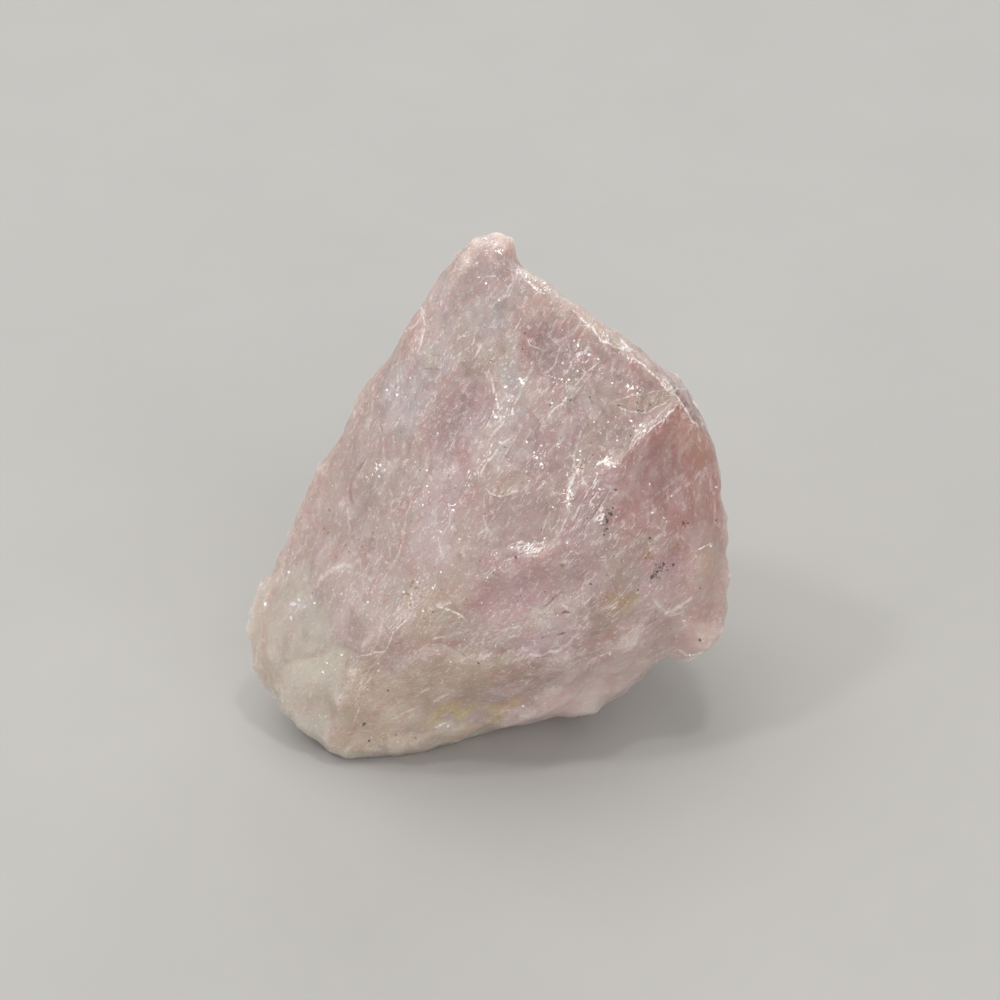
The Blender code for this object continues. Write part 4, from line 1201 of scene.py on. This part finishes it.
# How many times a texture repeats in a millimetre, along the grain and across it
MOTTLE_SCALE = (1.4, 2.4)
FIBRE_SCALE = (1.1, 6.0)
BIG_CHIP_SCALE = (0.6, 1.1)
ARC_SCALE = (0.8, 1.3)
SPLINTER_SCALE = (2.4, 6.5)
MOTTLE_NOISE = (1.0, 2.0, 0.65)         # further scale, detail and roughness
FIBRE_NOISE = (1.0, 2.0, 0.6)
SPLINTER_NOISE = (1.0, 1.0, 0.5)
SATIN_SCALE = 6.5
SATIN_DETAIL = 3.0
SATIN_FINENESS = 0.7
SMALL_CHIP_SCALE = 2.4
COARSE_DUST_SCALE = 1.3
FINE_DUST_SCALE = 2.7

# How far the satin grain shakes what else is drawn
JITTER = 4.0                    # the values of patches, veils and ridges,
RIM_JITTER = 0.04               # a share of that for the painted light on sharp edges,
TINGE = 0.20                    # the colour,
ARC_SHAKE = 0.8                 # the arcs,
DUST_SHAKE = 0.3                # the dust,
LINE_SHAKE = (1.6, 1.6, 0.0)    # the hairlines, in half widths,
SPECK_SHAKE = (2.4, 2.4, 0.0)   # and the specks, in radii
CHIP_JITTER = 1.8               # how far the small chips shake the patches and the veils

# Where a mask starts and where it is full, and in some the share that it never falls below
CHIPPED = (0.0, 0.8, 0.35)
GRITTY = (0.0, 1.0, 0.4)
ARC_EDGE = (0.045, 0.01)
ARC_PLACES = (0.50, 0.60)
LINE_EDGE = (1.1, 0.4)          # in half widths
LINE_BREAKS = (0.62, 0.78, 0.2)
SPECK_EDGE = (1.15, 0.7)        # in radii
SPLINTER_EDGE = (0.76, 0.84)
CRUSHED_PLACES = (0.1, 0.5)
LIVELY_PLACES = (0.0, 0.6, 0.30)
FROST_LIFT = 0.26               # how far a crushed patch lifts the splinters over their edge

# Radius of a scattered speck in its cell, and the share of the cells that hold one
COARSE_DUST = (0.11, 0.16)
COARSE_SPARKLE = (0.13, 0.16)
FINE_SPARKLE = (0.18, 0.14)
DUST_CORE = 0.6                 # share of that radius that is full

# How much of the colour below each kind of mark hides
ARC_SHARE = 0.45
SPLINTER_SHARE = 0.85
DUST_SHARE = 0.65
RUST_SHARE = 0.75
DARK_SHARE = 0.8
SPARK_SHARE = 0.95
RAINBOW_SHARE = 0.6
RAINBOW_SPREAD = (0.6, 0.6, 0.6)        # the most that a rainbow fleck's colour strays
RAINBOW_BASE = (0.45, 0.40, 0.50)       # upwards from this one

SATIN_BUMP = 0.045              # heights in the surface's bump, in millimetres
BIG_CHIP_BUMP = 0.45            # for a chip's full tilt
SMALL_CHIP_BUMP = 0.8
SATIN_ROUGHNESS = (0.3, 0.7, 0.46, 0.32)        # between two levels of the mottle
GLASSY_ROUGHNESS = 0.16         # of splinters and sparks,
FROST_GLASS = 0.7               # and a crushed patch comes this near to it
BERYL_IOR = 1.58
DEPTH_SHARE = 0.9               # how much of the light goes into the stone,
DEPTH_REACH = (12.0, 8.0, 6.8)  # and how far its red, green and blue parts go, in millimetres


class StoneNodes(Nodes):
    """The stone's nodes, with the values that several of its layers read: those stored on its
    points, and noise and chips in a few sizes."""

    def __init__(self, material):
        super().__init__(material)
        object_place = self.add("ShaderNodeTexCoord", {}).outputs["Object"]
        lean = (FACE_LEAN - radians(90.0), 0.0, 0.0)
        inputs = {"Vector": object_place, "Rotation": lean, "Scale": (1.0 / MM,) * 3}
        self.place = self.add("ShaderNodeMapping", inputs).outputs["Vector"]
        self.grain = self.stored("grain", "Vector")
        self.broken = self.stored("broken")
        self.frost = self.stored("frost")
        self.lively = self.stored("lively")
        inputs = {"Vector": self.place, "Scale": SATIN_SCALE, "Detail": SATIN_DETAIL,
                  "Roughness": SATIN_FINENESS}
        fine = self.add("ShaderNodeTexNoise", inputs)
        self.satin = fine.outputs["Fac"]
        self.ragged = self.vector("SUBTRACT", fine.outputs["Color"], (0.5, 0.5, 0.5))
        self.jitter = self.product(self.math("SUBTRACT", self.satin, 0.5), JITTER)
        self.mottle = self.noise(self.stretched(MOTTLE_SCALE), *MOTTLE_NOISE)
        self.fibres = self.noise(self.stretched(FIBRE_SCALE), *FIBRE_NOISE)
        self.big_tilt, big_chance, _hue = self.chips(self.stretched(BIG_CHIP_SCALE), 1.0)
        self.small_tilt, small_chance, self.chip_hue = self.chips(self.place, SMALL_CHIP_SCALE)
        self.chip_jitter = self.product(self.math("SUBTRACT", small_chance, 0.5), CHIP_JITTER)
        self.chance = self.math("ADD", self.product(big_chance, 0.5),
                                self.product(small_chance, 0.5))
        self.chipped = self.ramp(self.broken, *CHIPPED)

    def stretched(self, scale):
        """The grain's place, scaled along it and across it."""
        along, across = scale
        return self.vector("MULTIPLY", self.grain, (along, across, across))

    def shaken(self, base, amount):
        """A place or a colour, made uneven by the given amount."""
        return self.vector("ADD", base, self.vector("MULTIPLY", self.ragged, (amount,) * 3))

    def chips(self, place, scale):
        """Little flat chips: each one's height, tilted its own way, its chance and its colour."""
        cells = self.voronoi(place, scale)
        hue = cells.outputs["Color"]
        away = self.vector("SUBTRACT", place, cells.outputs["Position"])
        tilt = self.vector("SUBTRACT", hue, (0.5, 0.5, 0.5))
        chance = self.vector("DOT_PRODUCT", hue, GREEN_PART)
        return self.vector("DOT_PRODUCT", away, tilt), chance, hue

    def hairlines(self, name, breaks):
        """Where the stored hairlines of one kind lie."""
        wander = self.vector("DOT_PRODUCT", self.ragged, LINE_SHAKE)
        gap = self.math("ABSOLUTE", self.math("ADD", self.stored(name + "_gap"), wander))
        return self.product(self.ramp(gap, *LINE_EDGE), self.stored(name + "_share"), breaks)

    def specks(self, name):
        """Where the stored specks of one kind lie."""
        shift = self.vector("MULTIPLY", self.ragged, SPECK_SHAKE)
        away = self.vector("ADD", self.stored(name, "Vector"), shift)
        return self.ramp(self.vector("LENGTH", away), *SPECK_EDGE)

    def scattered(self, cells, radius, share, part):
        """Tiny specks, one to a cell in a share of the cells, by a part of the cell's colour."""
        near = self.ramp(cells.outputs["Distance"], radius, radius * DUST_CORE)
        chance = self.vector("DOT_PRODUCT", cells.outputs["Color"], part)
        return self.product(near, self.math("LESS_THAN", chance, share))


def cloudy_colour(stone):
    """The stone's own colour, with rosy and creamy patches and pale and tan veils."""
    pinkness = stone.math("ADD", stone.stored("pinkness"), stone.jitter)
    pinkness = stone.math("ADD", pinkness, stone.chip_jitter)
    veils = stone.math("ADD", stone.stored("veils"), stone.jitter)
    veils = stone.math("SUBTRACT", veils, stone.chip_jitter)
    colour = stone.stored("tint", "Color")
    colour = stone.layer(colour, pinkness, ROSY)
    colour = stone.layer(colour, pinkness, CREAMY)
    colour = stone.layer(colour, veils, VEILED)
    return stone.layer(colour, veils, TANNED)


def broken_colour(stone, colour):
    """Chips, ridges, fibres and grit of the broken surface, with painted light on its ridge tops and
    painted shade in its furrows, and painted light along its sharp edges.
    """
    ridges = stone.math("ADD", stone.stored("ridges"), stone.jitter)
    grit = stone.ramp(stone.broken, *GRITTY)
    rim = stone.math("ADD", stone.stored("rim"), stone.product(stone.jitter, RIM_JITTER))
    colour = stone.layer(colour, stone.chance, PALE_CHIPS, stone.chipped)
    colour = stone.layer(colour, stone.chance, DEEP_CHIPS, stone.chipped)
    # Painted light on the ridge tops, partly frosting, and painted shade in the furrows
    colour = stone.layer(colour, ridges, LIT_AND_FROSTED_RIDGE_TOPS)
    colour = stone.layer(colour, ridges, SHADED_FURROWS)
    colour = stone.layer(colour, stone.fibres, PALE_FIBRES, stone.lively)
    colour = stone.layer(colour, stone.mottle, PALE_MOTTLE)
    colour = stone.layer(colour, stone.satin, PALE_GRIT, grit)
    colour = stone.layer(colour, stone.satin, DEEP_GRIT, grit)
    colour = stone.vector("MULTIPLY", colour, stone.shaken((1.0, 1.0, 1.0), TINGE))
    # painted light on the sharp edges
    return stone.layer(colour, rim, EDGE_LIGHT)


def lined_colour(stone, colour):
    """Curved arcs between hidden cells, and the named hairlines."""
    curved = stone.shaken(stone.stretched(ARC_SCALE), ARC_SHAKE)
    arc_gap = stone.voronoi(curved, 1.0, "DISTANCE_TO_EDGE").outputs["Distance"]
    arcs = stone.product(stone.ramp(arc_gap, *ARC_EDGE), stone.ramp(stone.mottle, *ARC_PLACES),
                         stone.chipped)
    unbroken = stone.math("ADD", stone.mottle, stone.product(stone.fibres, 0.5))
    breaks = stone.ramp(unbroken, *LINE_BREAKS)
    colour = stone.cover(colour, arcs, ARC_SHARE, WHITE)
    colour = stone.mix(stone.hairlines("dark", breaks), colour, SHADE)
    return stone.mix(stone.hairlines("pale", breaks), colour, WHITE)


def crushed_splinters(stone):
    """Where the crushed patches hold little white splinters."""
    splinters = stone.noise(stone.stretched(SPLINTER_SCALE), *SPLINTER_NOISE)
    raised = stone.math("ADD", splinters, stone.product(stone.frost, FROST_LIFT))
    return stone.product(stone.ramp(raised, *SPLINTER_EDGE),
                         stone.ramp(stone.frost, *CRUSHED_PLACES))


def dust_and_sparks(stone):
    """Where the olive dust lies, and where the painted glints and the painted sparkle of tiny highlights
    go.
    """
    dust_place = stone.shaken(stone.place, DUST_SHAKE)
    coarse = stone.voronoi(dust_place, COARSE_DUST_SCALE)
    fine = stone.voronoi(dust_place, FINE_DUST_SCALE)
    dust = stone.scattered(coarse, *COARSE_DUST, GREEN_PART)
    sparkle = stone.math("MAXIMUM", stone.scattered(coarse, *COARSE_SPARKLE, RED_PART),
                         stone.scattered(fine, *FINE_SPARKLE, RED_PART))
    sparkle = stone.product(sparkle, stone.ramp(stone.lively, *LIVELY_PLACES))
    return dust, stone.math("MAXIMUM", stone.specks("glints"), sparkle)


def specked_colour(stone, colour, dust, sparks):
    """Dust, rust and dark specks, sparks of painted highlight, and a few rainbow flecks of painted
    iridescent reflection.
    """
    rainbow = stone.vector("MULTIPLY", stone.chip_hue, RAINBOW_SPREAD)
    rainbow = stone.vector("ADD", rainbow, RAINBOW_BASE)
    for mask, share, tint in ((dust, DUST_SHARE, OLIVE),
                              (stone.specks("rust_specks"), RUST_SHARE, RUST),
                              (stone.specks("dark_specks"), DARK_SHARE, BLACK_BROWN),
                              (sparks, SPARK_SHARE, SPARK),
                              (stone.specks("rainbows"), RAINBOW_SHARE, rainbow)):
        colour = stone.cover(colour, mask, share, tint)
    return colour


def satin_roughness(stone, crushed, sparks):
    """Satin all over, and glassy in the crushed patches and the sparks."""
    glassy = stone.math("MAXIMUM", stone.math("MAXIMUM", crushed, sparks),
                        stone.math("MULTIPLY", stone.frost, FROST_GLASS))
    return stone.blend(glassy, stone.ramp(stone.mottle, *SATIN_ROUGHNESS), GLASSY_ROUGHNESS)


def bumped(stone):
    """The surface's direction, with its satin grain and the tilts of its chips."""
    shivered = stone.math("MAXIMUM", stone.product(stone.broken, 0.5), stone.frost)
    height = stone.product(stone.satin, SATIN_BUMP)
    for tilt, most in ((stone.big_tilt, BIG_CHIP_BUMP), (stone.small_tilt, SMALL_CHIP_BUMP)):
        height = stone.math("ADD", height, stone.product(tilt, shivered, most))
    inputs = {"Height": height, "Distance": MM, "Strength": 1.0}
    return stone.add("ShaderNodeBump", inputs).outputs["Normal"]


def stone_material():
    """Cloudy beryl: veils and fibres in the stone, and a satin broken surface that sparkles."""
    material = bpy.data.materials.new("cloudy_beryl")
    stone = StoneNodes(material)
    crushed = crushed_splinters(stone)
    dust, sparks = dust_and_sparks(stone)
    colour = cloudy_colour(stone)
    colour = broken_colour(stone, colour)
    colour = lined_colour(stone, colour)
    colour = stone.cover(colour, crushed, SPLINTER_SHARE, WHITE)
    colour = specked_colour(stone, colour, dust, sparks)

    sockets = stone.shader.inputs
    stone.feed(sockets["Base Color"], colour)
    stone.feed(sockets["Roughness"], satin_roughness(stone, crushed, sparks))
    stone.feed(sockets["Normal"], bumped(stone))
    sockets["IOR"].default_value = BERYL_IOR
    sockets["Subsurface Weight"].default_value = DEPTH_SHARE
    sockets["Subsurface Radius"].default_value = DEPTH_REACH
    sockets["Subsurface Scale"].default_value = MM
    return material


def add_stone():
    """The dressed stone, in place of the plain solid."""
    mesh = remeshed(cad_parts["morganite"])
    places = read_points(mesh, "co")
    normals = read_points(mesh, "normal")
    face = upright_to_face(places / MM)
    front = smooth_fall(-upright_to_face(normals)[:, 2], *FRONT_FADE)
    links = np.zeros(len(mesh.edges) * 2, int)
    mesh.edges.foreach_get("vertices", links)
    links = links.reshape(-1, 2)
    seen = sighted(face)
    rim = jut(places, normals, links, RIM_PASSES)
    worn = (front * patch_field(seen, ovals(WORN)))[:, None]
    places += worn * (softened(places, links, WORN_PASSES) - places)
    quiet = front * patch_field(seen, ovals(SMOOTH))
    quiet += (1.0 - front) * patch_field(face[:, :2], BACK_QUIET)
    broken = 1.0 - quiet
    carved = carve(mesh, places, normals, broken, 1.0 - front)
    ridges = jut(carved, normals, links, RIDGE_PASSES)
    store(mesh, "rim", rim)
    store(mesh, "ridges", ridges / ridges.std())
    mark(mesh, face, front, broken)
    mesh.materials.clear()
    mesh.materials.append(stone_material())
    mesh.shade_smooth()
    stone = bpy.data.objects.new("stone", mesh)
    bpy.context.scene.collection.objects.link(stone)
    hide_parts("morganite")
    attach(stone, "root")


add_camera()
add_lights()
add_floor()
add_stone()
